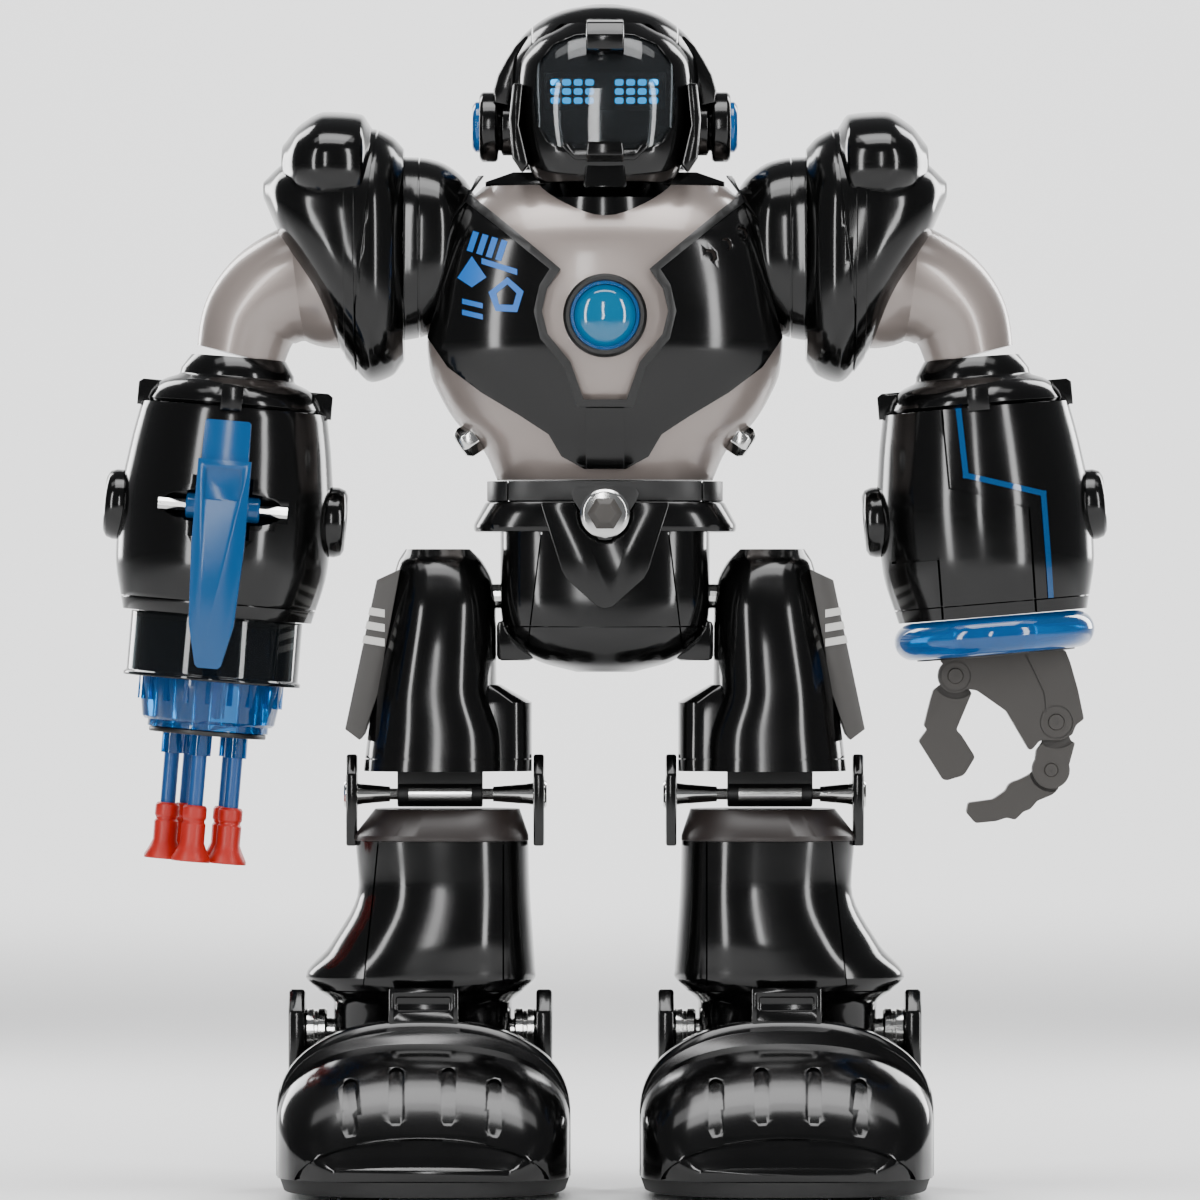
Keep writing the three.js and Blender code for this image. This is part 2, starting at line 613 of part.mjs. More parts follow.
function dartDrum() {
  const body = turned([[0, drumTop], [drumRadius, drumTop], [drumRadius, drumEnd + 14], [drumRadius - 1.8, drumEnd + 3],
    [drumRadius - 3.6, drumEnd + 2], [drumRadius - 3.6, drumEnd], [0, drumEnd]]);
  const boreRadius = dartShaftRadius + fitGap / 2;
  const drum = dartPlaces.reduce((all, at) =>
    all.add(rod("z", boreRadius + tubeWall, drumEnd - tubeReach, drumEnd + 1, at, 12)), body);
  const bored = dartPlaces.reduce((all, at) =>
    all.subtract(rod("z", boreRadius, drumEnd - everything, dartRoot + 1, at, 12)), drum);
  return mesh("dart_drum", bored.subtract(rod("z", spindleRadius + fitGap, drumEnd + 5, everything, [0, 0])), clearBlue);
}

function dart(number, [x, y]) {
  const body = turned([[0, dartRoot], [dartShaftRadius, dartRoot], [dartShaftRadius, shaftEnd], [3.75, shaftEnd - 0.8],
    [3.75, cupEnd + 5.5], [dartCupRadius, cupEnd + 1], [dartCupRadius, cupEnd], [dartCupRadius - 1, cupEnd],
    [2.2, cupEnd + 3], [0, cupEnd + 3.4]], 8);
  const made = mesh(`dart_${number}`, body, red);
  made.position.set(x, y, 0);
  return made;
}

// A rocker on a cross pin: pressing its long lower end fires the launcher.
function fireLever() {
  const outer = leverPinY - 17.5;
  const upper = plate([[-7.6, leverPinZ + 27], [7.6, leverPinZ + 27], [8, leverPinZ + 14], [-8, leverPinZ + 14]],
    outer + 1, -33.4);
  const body = plate([[-leverHalfWidth, leverPinZ + 15], [leverHalfWidth, leverPinZ + 15],
    [leverHalfWidth, leverPinZ - 12], [7, leverPinZ - 36], [3.9, leverPinZ - 49.5], [-3.9, leverPinZ - 49.5],
    [-7, leverPinZ - 36], [-leverHalfWidth, leverPinZ - 12]], outer, -37);
  const root = box(-leverHalfWidth, leverHalfWidth, outer + 1, leverPinY + 4, leverPinZ - 4, leverPinZ + 4);
  const bore = rod("x", leverPinRadius + fitGap / 2, -everything, everything, [leverPinY, leverPinZ]);
  return mesh("fire_lever", upper.add(body).add(root).subtract(bore), blue);
}

function leverPin() {
  return mesh("lever_pin", rod("x", leverPinRadius, -leverPinHalf, leverPinHalf, [leverPinY, leverPinZ]), steel);
}

// ---- hand on the left forearm ----
const ringTop = forearmBottom - fitGap;
const ringEnd = ringTop - ringThick;
const thumbPivot = [-13.3, -98.6];
const fingerPivot = [16.7, -115.5];
const tipPivot = [13.9, -130.2];
const thumbReach = 7.2; // from a knuckle to where its link is full width
const fingerReach = 8.2;
const tipReach = 6.8;

function glowRing() {
  const edge = ringThick / 2;
  const profile = Array.from({ length: 6 }, (_, i) => {
    const angle = Math.PI / 2 - (Math.PI * i) / 5;
    return [ringRadius - edge + edge * Math.cos(angle), ringTop - edge + edge * Math.sin(angle)];
  });
  return mesh("glow_ring", turned([[10, ringTop], ...profile, [10, ringEnd], [10, ringTop]]), clearBlue);
}

const across = (pivot, radius, half, sides = 16) => rod("y", radius, -half, half, pivot, sides);

function clawPalm() {
  const half = clawThick / 2;
  const outline = [[-17.6, ringEnd - 2 * fitGap], [21.4, ringEnd - 2 * fitGap], [22.6, -97.3], [24.3, -106.1],
    [25.4, -115.3], [22.8, -116.9], [21.3, -119.9], [17.8, -121.2], [13.2, -120.8], [11, -120.9], [8.6, -123.3],
    [7.6, -123.4], [1.6, -110.8], [-6.9, -103.7], [-10.5, -102.9]];
  const stem = rod("z", 9.4, ringEnd - 3, ringTop + 3, [0, 0], 16);
  const cheeks = [thumbPivot, fingerPivot].reduce((all, at) => all.add(across(at, 5.3, half)), plate(outline, -half, half));
  const slots = [[thumbPivot, thumbReach], [fingerPivot, fingerReach]].reduce((all, [at, reach]) =>
    all.subtract(across(at, reach + 0.6, tongueThick / 2 + fitGap)), cheeks.add(stem));
  return mesh("claw_palm", main([thumbPivot, fingerPivot].reduce((all, at) =>
    all.add(across(at, rivetRadius, half + 0.4, 12)), slots)), darkGrey);
}

// A claw link: full width away from its root knuckle, a thin tongue inside the knuckle.
function clawLink(name, outline, root, reach, tip) {
  const half = clawThick / 2;
  const tongue = across(root, knuckleRadius, tongueThick / 2)
    .add(plate(outline, -tongueThick / 2, tongueThick / 2));
  let link = plate(outline, -half, half).subtract(across(root, reach, half + 1, 24)).add(tongue)
    .subtract(across(root, rivetRadius + fitGap, half + 1, 12));
  if (tip) {
    link = link.add(across(tip, tipReach - 1, half)).subtract(across(tip, tipReach - 0.4, tongueThick / 2 + fitGap))
      .add(across(tip, rivetRadius * 0.8, half, 12));
  }
  return mesh(name, main(link), darkGrey);
}

function clawThumb() {
  return clawLink("claw_thumb", [[-16.2, -99.6], [-11, -100.7], [-8.6, -104.2], [-14.4, -115.3], [-13, -117], [-9.6, -123.5],
    [-9.5, -124.5], [-12.7, -128.9], [-13.7, -129.7], [-18.5, -130.7], [-19.8, -130.4], [-26.3, -117.8], [-23.3, -114.4],
    [-24.3, -113.3], [-21.6, -105.4], [-20.4, -102.4]], thumbPivot, thumbReach);
}

function clawFinger() {
  return clawLink("claw_finger", [[14.6, -115.3], [19.4, -116.3], [20.9, -121.7], [22, -122.4], [19.6, -129.1],
    [16.2, -132.2], [11.3, -131.8], [9.2, -127.3], [9.8, -123.9], [11.5, -121.9]], fingerPivot, fingerReach, tipPivot);
}

function clawFingertip() {
  return clawLink("claw_fingertip", [[12.8, -128.8], [15.6, -132.2], [15.9, -136.2], [13.6, -137.9], [8.8, -139.4],
    [6.4, -141.8], [4.2, -142.4], [1.5, -144.7], [-1.2, -143.8], [-4.4, -144.6], [-10.9, -144.7], [-13.4, -141.2],
    [-12.6, -138.2], [-4.8, -137.8], [-0.8, -135.5], [0.3, -133.7], [1.6, -132.9], [3.8, -132.4], [7, -131.1],
    [10.4, -128]], tipPivot, tipReach);
}

// ---- legs, in the limb's frame: X outwards ----
const thighStations = [
  [-54.2, legInner, legOuter, -27, 27, 2.6],
  [-28, legInner, legOuter - 3.5, -25, 25, 2.6],
  [-4, legInner, legOuter - 7.7, -19.5, 19.5, 2.5],
  [4, legInner + 1, legOuter - 9, -16, 16, 2.4],
  [10.5, legInner + 4, legOuter - 10.5, -12, 12, 2.3],
  [14.6, legInner + 8, legOuter - 13, -6.5, 6.5, 2.2],
];
const kneeLow = -thighLength;
const knuckle = [38, 64.5];
const kneePlates = [[pelvisHalfWidth - 13.6, pelvisHalfWidth - 13.6 + kneePlateThick], [legOuter + 2, legOuter + 2 + kneePlateThick]];
const lobeInner = kneePlates[0][1] + 0.5;

function thigh(side) {
  const lobe = loft("z", [
    [-54.2, lobeInner, legInner + 12, -19, 19, 4],
    [-33, lobeInner, legInner + 12, -17.5, 17.5, 4],
    [-27.5, legInner - 1.4, legInner + 12, -15, 15, 4],
  ]);
  const sidePlate = plate([[legOuter - 11.6, 8.4], [legOuter - 4.3, 5], [legOuter + 5.5, -41.2], [legOuter + 1, -44.6],
    [legOuter - 14, -40]], -13, 13);
  const hollow = loft("z", thighStations, -wall).add(loft("z", [
    [-60, legInner + wall, legOuter - wall - 1, -24, 24, 2.6], [-50, legInner + wall, legOuter - wall - 1, -24, 24, 2.6]]));
  const web = box(knuckle[0], knuckle[1], -2.6, 2.6, kneeLow, -45).add(box(knuckle[0], knuckle[1], -26, 26, -52.5, -50.3))
    .add(rod("x", 4, knuckle[0], knuckle[1], [0, kneeLow]));
  const floor = web.intersect(loft("z", thighStations, -0.4).add(box(0, 100, -5, 5, kneeLow - 5, -50)));
  return mesh(`thigh_${side}`, main(loft("z", thighStations).add(lobe).add(sidePlate).subtract(hollow).add(floor)
    .subtract(rod("x", kneePinRadius + runGap, 0, everything, [0, kneeLow], 12))
    .subtract(rod("x", hipAxleRadius + runGap, 0, legInner + 22.5, [0, 0]))), black);
}

const shinStations = [
  [-shinLength - 8, 34, 80, -14, 14, 2.4],
  [-shinLength, 29.2, 84.2, -21, 21, 2.6],
  [-64.8, 29, 84.4, -23.5, 24, 2.6],
  [-60.4, 24.8, 89.6, -26.5, 27.6, 2.6],
  [-56.5, 21.6, 93, -27.6, 29.5, 2.6],
  [-47, 22.2, 85.5, -27.6, 30, 2.6],
  [-28.5, 23.4, 76.6, -26, 27.5, 2.6],
  [-15, 23.7, 77.6, -26, 26.4, 2.6],
  [-13.5, 23.7, 78, -26.4, 26.8, 2.6],
  [-4.6, 26.5, 71.5, -20.5, 20.5, 2.6],
];

function shin(side) {
  const cheeks = kneePlates.map(([x0, x1], i) => solidOf(new THREE.ExtrudeGeometry(
    new THREE.Shape([[-8.5, -16], [-8.5, 6], [-4, 12.4], [6, 12.4], [8.5, 9], [8.5, -16]]
      .map(([y, z]) => new THREE.Vector2(y, z))), { depth: x1 - x0 + (i === 0 ? 2 : 1.6), bevelEnabled: false })
    .rotateY(Math.PI / 2).rotateX(Math.PI / 2).translate(i === 0 ? x0 : x0 - 1.6, 0, 0)));
  const rubZone = box(kneePlates[0][1], kneePlates[1][0], -everything, everything, -4.6, everything);
  const gap = rod("x", 4 + runGap + 0.3, knuckle[0] - 1, knuckle[1] + 1, [0, 0]);
  const hollow = loft("z", shinStations, -wall).intersect(box(0, 200, -60, 60, -shinLength + 12, 0));
  const drain = loft("z", [[-shinLength - 20, 40, 74, -9, 9, 2.6], [-shinLength + 20, 40, 74, -12, 12, 2.6]]);
  const ankle = rod("x", anklePinRadius + runGap, -everything, everything, [0, -shinLength]);
  return mesh(`shin_${side}`, main(loft("z", shinStations).add(cheeks[0].subtract(rubZone)).add(cheeks[1].subtract(rubZone))
    .subtract(hollow).subtract(drain).subtract(gap).subtract(ankle)
    .subtract(rod("x", kneePinRadius + fitGap, 0, everything, [0, 0], 12))), black);
}

function kneePin(side) {
  return mesh(`knee_pin_${side}`, rod("x", kneePinRadius, kneePlates[0][0] + 0.6, kneePlates[1][1] - 0.6, [0, 0], 12), steel);
}

// Foot cover: arched cross-sections from toe to heel, [y, half width, side height, top height] from the ground.
const footTop = 56;
const soleTop = soleUnder + soleThick;
const coverBottom = soleTop + fitGap;
const archStations = [
  [heelReach - footLength, 28, 11, 14],
  [heelReach - footLength + 11, 41.5, 18, 33],
  [heelReach - footLength + 32, footWidth / 2, 25, 53],
  [-31.5, footWidth / 2, 26, footTop],
  [-29, footWidth / 2, 26, 36],
  [28, footWidth / 2 - 2, 24, 34.5],
  [45, footWidth / 2 - 7, 20, 30],
  [heelReach - 3, footWidth / 2 - 14, 15, 22],
  [heelReach, footWidth / 2 - 19, 12, 15],
];

function archBody(inset, drop) {
  return skin(archStations.map(([y, half, side, top], i) => {
    const at = y + (i === 0 ? inset : i === archStations.length - 1 ? -inset : top > 50 && y > -32 ? -inset : 0);
    const arch = Array.from({ length: 9 }, (_, j) => {
      const angle = (Math.PI * j) / 8;
      return new THREE.Vector3(footX + (half - inset) * signedPower(Math.cos(angle), 0.85), at,
        side + (top - inset - side) * Math.sin(angle) ** 0.85);
    });
    return [...arch, new THREE.Vector3(footX - half + inset, at, coverBottom - drop),
      new THREE.Vector3(footX + half - inset, at, coverBottom - drop)];
  })).translate([0, 0, -ankleHeight]);
}

const anklePlates = [[footX - 39.4, footX - 39.4 + anklePlateThick], [footX + 37.3, footX + 37.3 + anklePlateThick]];
const drumRoom = 7.4; // from an ankle plate to the shin

function footCover(side) {
  const cheeks = anklePlates.map(([x0, x1]) => solidOf(new THREE.ExtrudeGeometry(
    new THREE.Shape([[-11, -26], [-11, 6], [-5, 13], [5, 13], [11, 6], [11, -26]]
      .map(([y, z]) => new THREE.Vector2(y, z))), { depth: x1 - x0, bevelEnabled: false })
    .rotateY(Math.PI / 2).rotateX(Math.PI / 2).translate(x0, 0, 0)));
  const drums = [[anklePlates[0][1] - 1, anklePlates[0][1] + drumRoom - 0.6, 5],
    [anklePlates[1][0] + 1, anklePlates[1][0] - drumRoom + 0.6, -5]].map(([from, to, reach]) =>
    rod("x", 7, Math.min(from, to), Math.max(from, to), [0, 0]).add(
      rod("x", anklePinRadius, Math.min(from, to + reach), Math.max(from, to + reach), [0, 0])));
  const bracket = box(footX - 10.8, footX + 10.8, -38, -32.6, footTop - ankleHeight - 4, footTop - ankleHeight + 9.5);
  const cover = archBody(0, 0).subtract(archBody(wall, 10));
  return mesh(`foot_cover_${side}`, main([...cheeks, ...drums].reduce((all, piece) => all.add(piece), cover.add(bracket))), black);
}

function sole(side) {
  const half = footWidth / 2;
  const low = soleUnder - ankleHeight;
  const base = loft("z", [
    [low, footX - half + 1.6, footX + half - 1.6, heelReach - footLength + 1.6, heelReach - 1.6, 3],
    [low + soleThick, footX - half, footX + half, heelReach - footLength, heelReach, 3],
  ], 0, 28);
  const wheelZ = wheelRadius - ankleHeight;
  return mesh(`sole_${side}`, [frontWheelY, rearWheelY].reduce((all, y) => {
    const wellHalf = wheelWidth / 2 + runGap;
    const cheeks = [-1, 1].map((s) => box(wheelX + s * (wellHalf + 1.1) - 1.1, wheelX + s * (wellHalf + 1.1) + 1.1,
      y - 5, y + 5, low - soleUnder + 0.7, wheelZ + 4));
    return all.subtract(box(wheelX - wellHalf, wheelX + wellHalf, y - wheelRadius - 1.5, y + wheelRadius + 1.5, -100, 0))
      .add(cheeks[0]).add(cheeks[1])
      .subtract(rod("x", 1.5 + fitGap, wheelX - wellHalf - 4, wheelX + wellHalf + 4, [y, wheelZ], 12));
  }, base), rubber);
}

function wheel(name, y, group) {
  const half = wheelWidth / 2;
  const tyre = rod("x", wheelRadius, wheelX - half, wheelX + half, [0, 0], 16);
  const axle = rod("x", 1.5, wheelX - half - 2.4, wheelX + half + 2.4, [0, 0], 8);
  const made = mesh(name, tyre.add(axle), rubber);
  joint(name, group, 0, y, wheelRadius - ankleHeight).add(made);
}

// ---- assembly ----
const robot = new THREE.Group();
robot.position.y = footLength / 2 - heelReach;

const pelvis = joint("pelvis", robot, 0, 0, hipHeight);
pelvis.add(...pelvisShells(), waistBelt(), waistButton(), hipAxle());

const torso = joint("torso", robot, 0, 0, waistHeight);
torso.add(torsoFront(), torsoBack(), chestArmor(), neckCollar(), chestLens(), circuitBoard(), batteryBox());
batteryDoor(joint("battery_door", torso, 0, chestBack - 4, doorBottom));
powerSwitch(joint("power_switch", torso, 0, 0, 0));

const head = joint("head", torso, 0, 0, torsoHeight);
head.add(helmet(), visorFrame(), visorLens(), eyeBoard(), earPod("left", 1), earPod("right", -1));

for (const [side, sign] of [["right", -1], ["left", 1]]) {
  const limb = new THREE.Group();
  limb.scale.x = sign;
  torso.add(limb);
  const arm = joint(`arm_${side}`, limb, 0, 0, shoulderRise);
  const yoke = shoulderYoke(side);
  yoke.position.z = shoulderRise;
  limb.add(yoke);
  arm.add(upperArm(side), shoulderArmor(side));

  const forearm = joint(`forearm_${side}`, arm, elbow.x, 0, elbow.z);
  forearm.rotation.y = -forearmTilt;
  forearm.add(forearmCap(side), ...forearmShells(side, side === "right"));
  if (side === "right") {
    forearm.add(barrelSleeve(), leverPin());
    const lever = joint("fire_lever", forearm, 0, leverPinY, leverPinZ);
    const rocker = fireLever();
    rocker.position.copy(lever.position).negate();
    lever.add(rocker);
    const drum = joint("dart_drum", forearm, 0, 0, 0);
    drum.add(dartDrum(), ...dartPlaces.map((at, i) => dart(i + 1, at)));
  } else {
    forearm.add(glowRing(), clawPalm(), clawThumb(), clawFinger(), clawFingertip());
  }

  const leg = new THREE.Group();
  leg.scale.x = sign;
  robot.add(leg);
  joint(`thigh_${side}`, leg, 0, 0, hipHeight).add(thigh(side));
  joint(`shin_${side}`, leg, 0, 0, kneeHeight).add(shin(side), kneePin(side));
  const foot = joint(`foot_${side}`, leg, 0, 0, ankleHeight);
  foot.add(footCover(side), sole(side));
  wheel(`front_wheel_${side}`, frontWheelY, foot);
  wheel(`rear_wheel_${side}`, rearWheelY, foot);
}

export default robot;
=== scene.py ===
# The toy robot's looks: glossy moulded shells, pearl lacquer, lit lenses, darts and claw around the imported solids.
# Pieces are drawn in millimetres in their own body's frame, X outwards on the limbs, and put in place at the end.
import json
import math

import bmesh
import bpy
import numpy as np
from mathutils import Matrix, Vector


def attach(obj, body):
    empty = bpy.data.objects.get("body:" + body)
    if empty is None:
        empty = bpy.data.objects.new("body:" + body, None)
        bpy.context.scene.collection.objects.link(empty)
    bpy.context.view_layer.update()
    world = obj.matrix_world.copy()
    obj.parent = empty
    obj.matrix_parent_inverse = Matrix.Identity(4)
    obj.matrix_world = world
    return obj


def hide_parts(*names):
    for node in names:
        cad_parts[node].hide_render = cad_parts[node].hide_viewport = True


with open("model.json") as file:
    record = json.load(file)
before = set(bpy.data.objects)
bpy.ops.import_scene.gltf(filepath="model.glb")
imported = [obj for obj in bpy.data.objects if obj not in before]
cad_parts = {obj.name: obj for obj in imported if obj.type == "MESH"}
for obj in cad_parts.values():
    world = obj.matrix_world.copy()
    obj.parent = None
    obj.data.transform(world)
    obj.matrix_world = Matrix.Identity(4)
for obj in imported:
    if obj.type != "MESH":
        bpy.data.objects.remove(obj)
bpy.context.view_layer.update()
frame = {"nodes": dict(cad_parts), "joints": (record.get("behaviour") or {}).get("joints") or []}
scene = bpy.context.scene
mm = 0.001
print("frame loaded")

# places
sides = {"right": -1, "left": 1}
hinges = {joint["child"]: joint for joint in frame["joints"] if joint["type"] == "hinge"}
pivots = {child: Vector(joint["pos_m"]) / mm for child, joint in hinges.items()}
pelvisPlace = Vector((0, pivots["torso"].y, pivots["thigh_right"].z))
forearmTilt = math.acos(min(1, abs(hinges["forearm_left"]["axis"][2])))


def placeOf(origin, sign=1, tilt=0):
    return Matrix.Translation(origin) @ Matrix.Diagonal((sign, 1, 1, 1)) @ Matrix.Rotation(-tilt, 4, "Y")


places = {"pelvis": placeOf(pelvisPlace), "waist_button": placeOf(pelvisPlace)}
for body in ("torso", "head"):
    places[body] = placeOf(pivots[body])
for body in ("battery_door", "power_switch"):
    places[body] = places["torso"]
for side, sign in sides.items():
    for limb in ("arm", "thigh", "shin", "foot"):
        places[f"{limb}_{side}"] = placeOf(pivots[f"{limb}_{side}"], sign)
    places[f"forearm_{side}"] = placeOf(pivots[f"forearm_{side}"], sign, forearmTilt)
    for wheel in ("front_wheel", "rear_wheel"):
        places[f"{wheel}_{side}"] = placeOf(pivots[f"{wheel}_{side}"], sign)
    places[f"yoke_{side}"] = placeOf(pivots["torso"], sign)
for body in ("fire_lever", "dart_drum", "dart_1", "dart_2", "dart_3", "dart_4", "dart_5"):
    places[body] = places["forearm_right"]
for body in ("claw_thumb", "claw_finger", "claw_fingertip"):
    places[body] = places["forearm_left"]


# materials
def colour(hexCode, alpha=1):
    parts = [int(hexCode[i:i + 2], 16) / 255 for i in (1, 3, 5)]
    return [p / 12.92 if p <= 0.04045 else ((p + 0.055) / 1.055) ** 2.4 for p in parts] + [alpha]


# Adds a node: settings go to the inputs of that name or number, or else to the node's own properties.
def nodeIn(tree, kind, settings=None, links=None):
    node = tree.nodes.new(kind)
    for key, value in (settings or {}).items():
        if isinstance(key, int) or key in node.inputs:
            node.inputs[key].default_value = value
        else:
            setattr(node, key, value)
    for key, source in (links or {}).items():
        tree.links.new(source, node.inputs[key])
    return node


# A plastic or metal whose roughness varies over patches of the given size, with an optional fine grain.
def surface(name, look, patch=18, spread=0.06, grain=None):
    material = bpy.data.materials.new(name)
    material.use_nodes = True
    tree = material.node_tree
    shader = tree.nodes["Principled BSDF"]
    for key, value in look.items():
        shader.inputs[key].default_value = value
    where = nodeIn(tree, "ShaderNodeTexCoord").outputs["Object"]
    cloud = nodeIn(tree, "ShaderNodeTexNoise", {"Scale": 1 / (patch * mm), "Detail": 3}, {"Vector": where})
    varied = nodeIn(tree, "ShaderNodeMapRange", {
        "From Min": 0.3, "From Max": 0.7, "To Min": look["Roughness"] - spread / 2,
        "To Max": look["Roughness"] + spread / 2,
    }, {"Value": cloud.outputs["Fac"]})
    tree.links.new(varied.outputs["Result"], shader.inputs["Roughness"])
    if grain:
        size, depth = grain
        fine = nodeIn(tree, "ShaderNodeTexNoise", {"Scale": 1 / (size * mm), "Detail": 2}, {"Vector": where})
        bump = nodeIn(tree, "ShaderNodeBump", {"Strength": 0.35, "Distance": depth * mm},
            {"Height": fine.outputs["Fac"]})
        tree.links.new(bump.outputs["Normal"], shader.inputs["Normal"])
    return material


# polished injection-moulded ABS, black
blackGloss = surface("polished black ABS", {
    "Base Color": colour("#050505"), "Roughness": 0.14, "IOR": 1.5, "Specular IOR Level": 0.42, "Coat Weight": 0.06,
    "Coat Roughness": 0.05}, spread=0.05)
# black ABS from a lightly spark-eroded mould
blackSatin = surface("satin black ABS", {
    "Base Color": colour("#0c0c0c"), "Roughness": 0.4, "IOR": 1.5}, grain=(0.5, 0.02))
# warm grey ABS under a pearl lacquer
pearlGrey = surface("pearl warm grey lacquer", {
    "Base Color": colour("#8d837e"), "Roughness": 0.3, "Metallic": 0.35, "IOR": 1.5, "Coat Weight": 0.5,
    "Coat Roughness": 0.08}, patch=30, spread=0.05)
# dark warm grey ABS, satin
clawGrey = surface("satin dark warm grey ABS", {
    "Base Color": colour("#35322f"), "Roughness": 0.5, "IOR": 1.5}, grain=(0.6, 0.02))
# mid grey ABS cover
plateGrey = surface("satin grey ABS", {"Base Color": colour("#3a3836"), "Roughness": 0.42}, grain=(0.6, 0.02))
# brown-black satin ABS
bandBrown = surface("satin brown-black ABS", {"Base Color": colour("#1d1614"), "Roughness": 0.4})
# nickel plate over ABS
platedSilver = surface("nickel-plated ABS", {
    "Base Color": colour("#d2d2d0"), "Roughness": 0.16, "Metallic": 1}, spread=0.08)
# pad-printed inks
# the blue ink's emission is a painted glow: the printed blue shines though the print is no lamp
printedBluePaintedGlow = surface("pad-printed blue ink with painted glow", {
    "Base Color": colour("#04549e"), "Roughness": 0.4, "Emission Color": colour("#0462b4"),
    "Emission Strength": 0.3})
printedGrey = surface("pad-printed light grey ink", {"Base Color": colour("#c4c3bf"), "Roughness": 0.4})
# tinted polycarbonate, clear enough to show what is behind it
# the faint emission here is a painted glow: the dart drum is no lamp
clearBluePaintedGlow = surface("clear blue polycarbonate", {
    "Base Color": colour("#0c62a0"), "Roughness": 0.06, "Transmission Weight": 0.75, "IOR": 1.45,
    "Emission Color": colour("#0052a8"), "Emission Strength": 0.06}, spread=0.02)
# the lever's emission is a painted glow, standing in for light through the plastic; the lever is no lamp
leverBluePaintedGlow = surface("blue translucent ABS with painted glow", {
    "Base Color": colour("#003f6e"), "Roughness": 0.2, "Emission Color": colour("#005c98"),
    "Emission Strength": 0.12}, spread=0.04)
ringGlow = surface("clear blue polycarbonate, lit from behind", {
    "Base Color": colour("#034c82"), "Roughness": 0.08, "Transmission Weight": 0.55, "IOR": 1.45,
    "Coat Weight": 0.3,
    "Emission Color": colour("#0464ac"), "Emission Strength": 0.24}, spread=0.02)
lensGlow = surface("domed blue lens, lit from behind", {
    "Base Color": colour("#03465c"), "Roughness": 0.07, "Transmission Weight": 0.2, "IOR": 1.5, "Coat Weight": 0.6,
    "Emission Color": colour("#0277ac"), "Emission Strength": 0.55}, spread=0.02)
smoked = surface("smoked clear polycarbonate", {
    "Base Color": colour("#2a3032"), "Roughness": 0.05, "Transmission Weight": 0.85, "IOR": 1.45}, spread=0.02)
visorSmoke = surface("dark smoked clear polycarbonate", {
    "Base Color": colour("#72787c"), "Roughness": 0.05, "Transmission Weight": 0.95, "IOR": 1.45}, spread=0.02)
# light-emitting diodes behind diffusers
ledCyan = surface("lit cyan diode", {
    "Base Color": colour("#043a54"), "Roughness": 0.4, "Emission Color": colour("#0478b0"),
    "Emission Strength": 15})
# soft vinyl and its stiff shaft
dartRed = surface("soft red-orange vinyl", {
    "Base Color": colour("#a31509"), "Roughness": 0.42, "Subsurface Weight": 0.1}, spread=0.05)
dartBlue = surface("blue polypropylene shaft", {"Base Color": colour("#0f4680"), "Roughness": 0.32})
# moulded rubber
rubber = surface("matt black rubber", {"Base Color": colour("#191919"), "Roughness": 0.75}, grain=(0.8, 0.05))
# green solder mask
maskGreen = surface("green solder mask", {"Base Color": colour("#14522c"), "Roughness": 0.35})
paper = surface("matt white studio sweep", {"Base Color": colour("#f2f2f2"), "Roughness": 0.9}, patch=400)
print("materials made")


# solids
def newObject(name, points, faces):
    mesh = bpy.data.meshes.new(name)
    mesh.from_pydata([tuple(p) for p in points], [], faces)
    return wrapped(name, mesh)


def wrapped(name, mesh):
    made = bpy.data.objects.new(name, mesh)
    scene.collection.objects.link(made)
    tidied(mesh)
    return made


def tidied(mesh):
    shape = bmesh.new()
    shape.from_mesh(mesh)
    bmesh.ops.remove_doubles(shape, verts=shape.verts, dist=1e-5)
    bmesh.ops.dissolve_degenerate(shape, edges=shape.edges, dist=1e-5)
    bmesh.ops.recalc_face_normals(shape, faces=shape.faces)
    shape.to_mesh(mesh)
    shape.free()


# Values at evenly spaced steps on a curve that never overshoots its own points.
def eased(keys, values, at):
    keys, values = np.asarray(keys, float), np.asarray(values, float)
    if len(keys) < 3:
        return np.interp(at, keys, values)
    widths, rises = np.diff(keys), np.diff(values)
    slopes = rises / widths
    tangents = np.zeros(len(keys))
    tangents[0], tangents[-1] = slopes[0], slopes[-1]
    for i in range(1, len(keys) - 1):
        if slopes[i - 1] * slopes[i] > 0:
            w1, w2 = 2 * widths[i] + widths[i - 1], widths[i] + 2 * widths[i - 1]
            tangents[i] = (w1 + w2) / (w1 / slopes[i - 1] + w2 / slopes[i])
    cell = np.clip(np.searchsorted(keys, at, side="right") - 1, 0, len(keys) - 2)
    t = (at - keys[cell]) / widths[cell]
    h = widths[cell]
    return ((2 * t ** 3 - 3 * t ** 2 + 1) * values[cell] + (t ** 3 - 2 * t ** 2 + t) * h * tangents[cell]
            + (-2 * t ** 3 + 3 * t ** 2) * values[cell + 1] + (t ** 3 - t ** 2) * h * tangents[cell + 1])


# Closed skin through rings of equally many points.
def skin(name, rings):
    count = len(rings[0])
    faces = [(i * count + j, i * count + (j + 1) % count, (i + 1) * count + (j + 1) % count, (i + 1) * count + j)
             for i in range(len(rings) - 1) for j in range(count)]
    faces.append(tuple(range(count)))
    faces.append(tuple((len(rings) - 1) * count + j for j in reversed(range(count))))
    return newObject(name, [p for ring in rings for p in ring], faces)


def signedPower(values, power):
    return np.sign(values) * np.abs(values) ** power


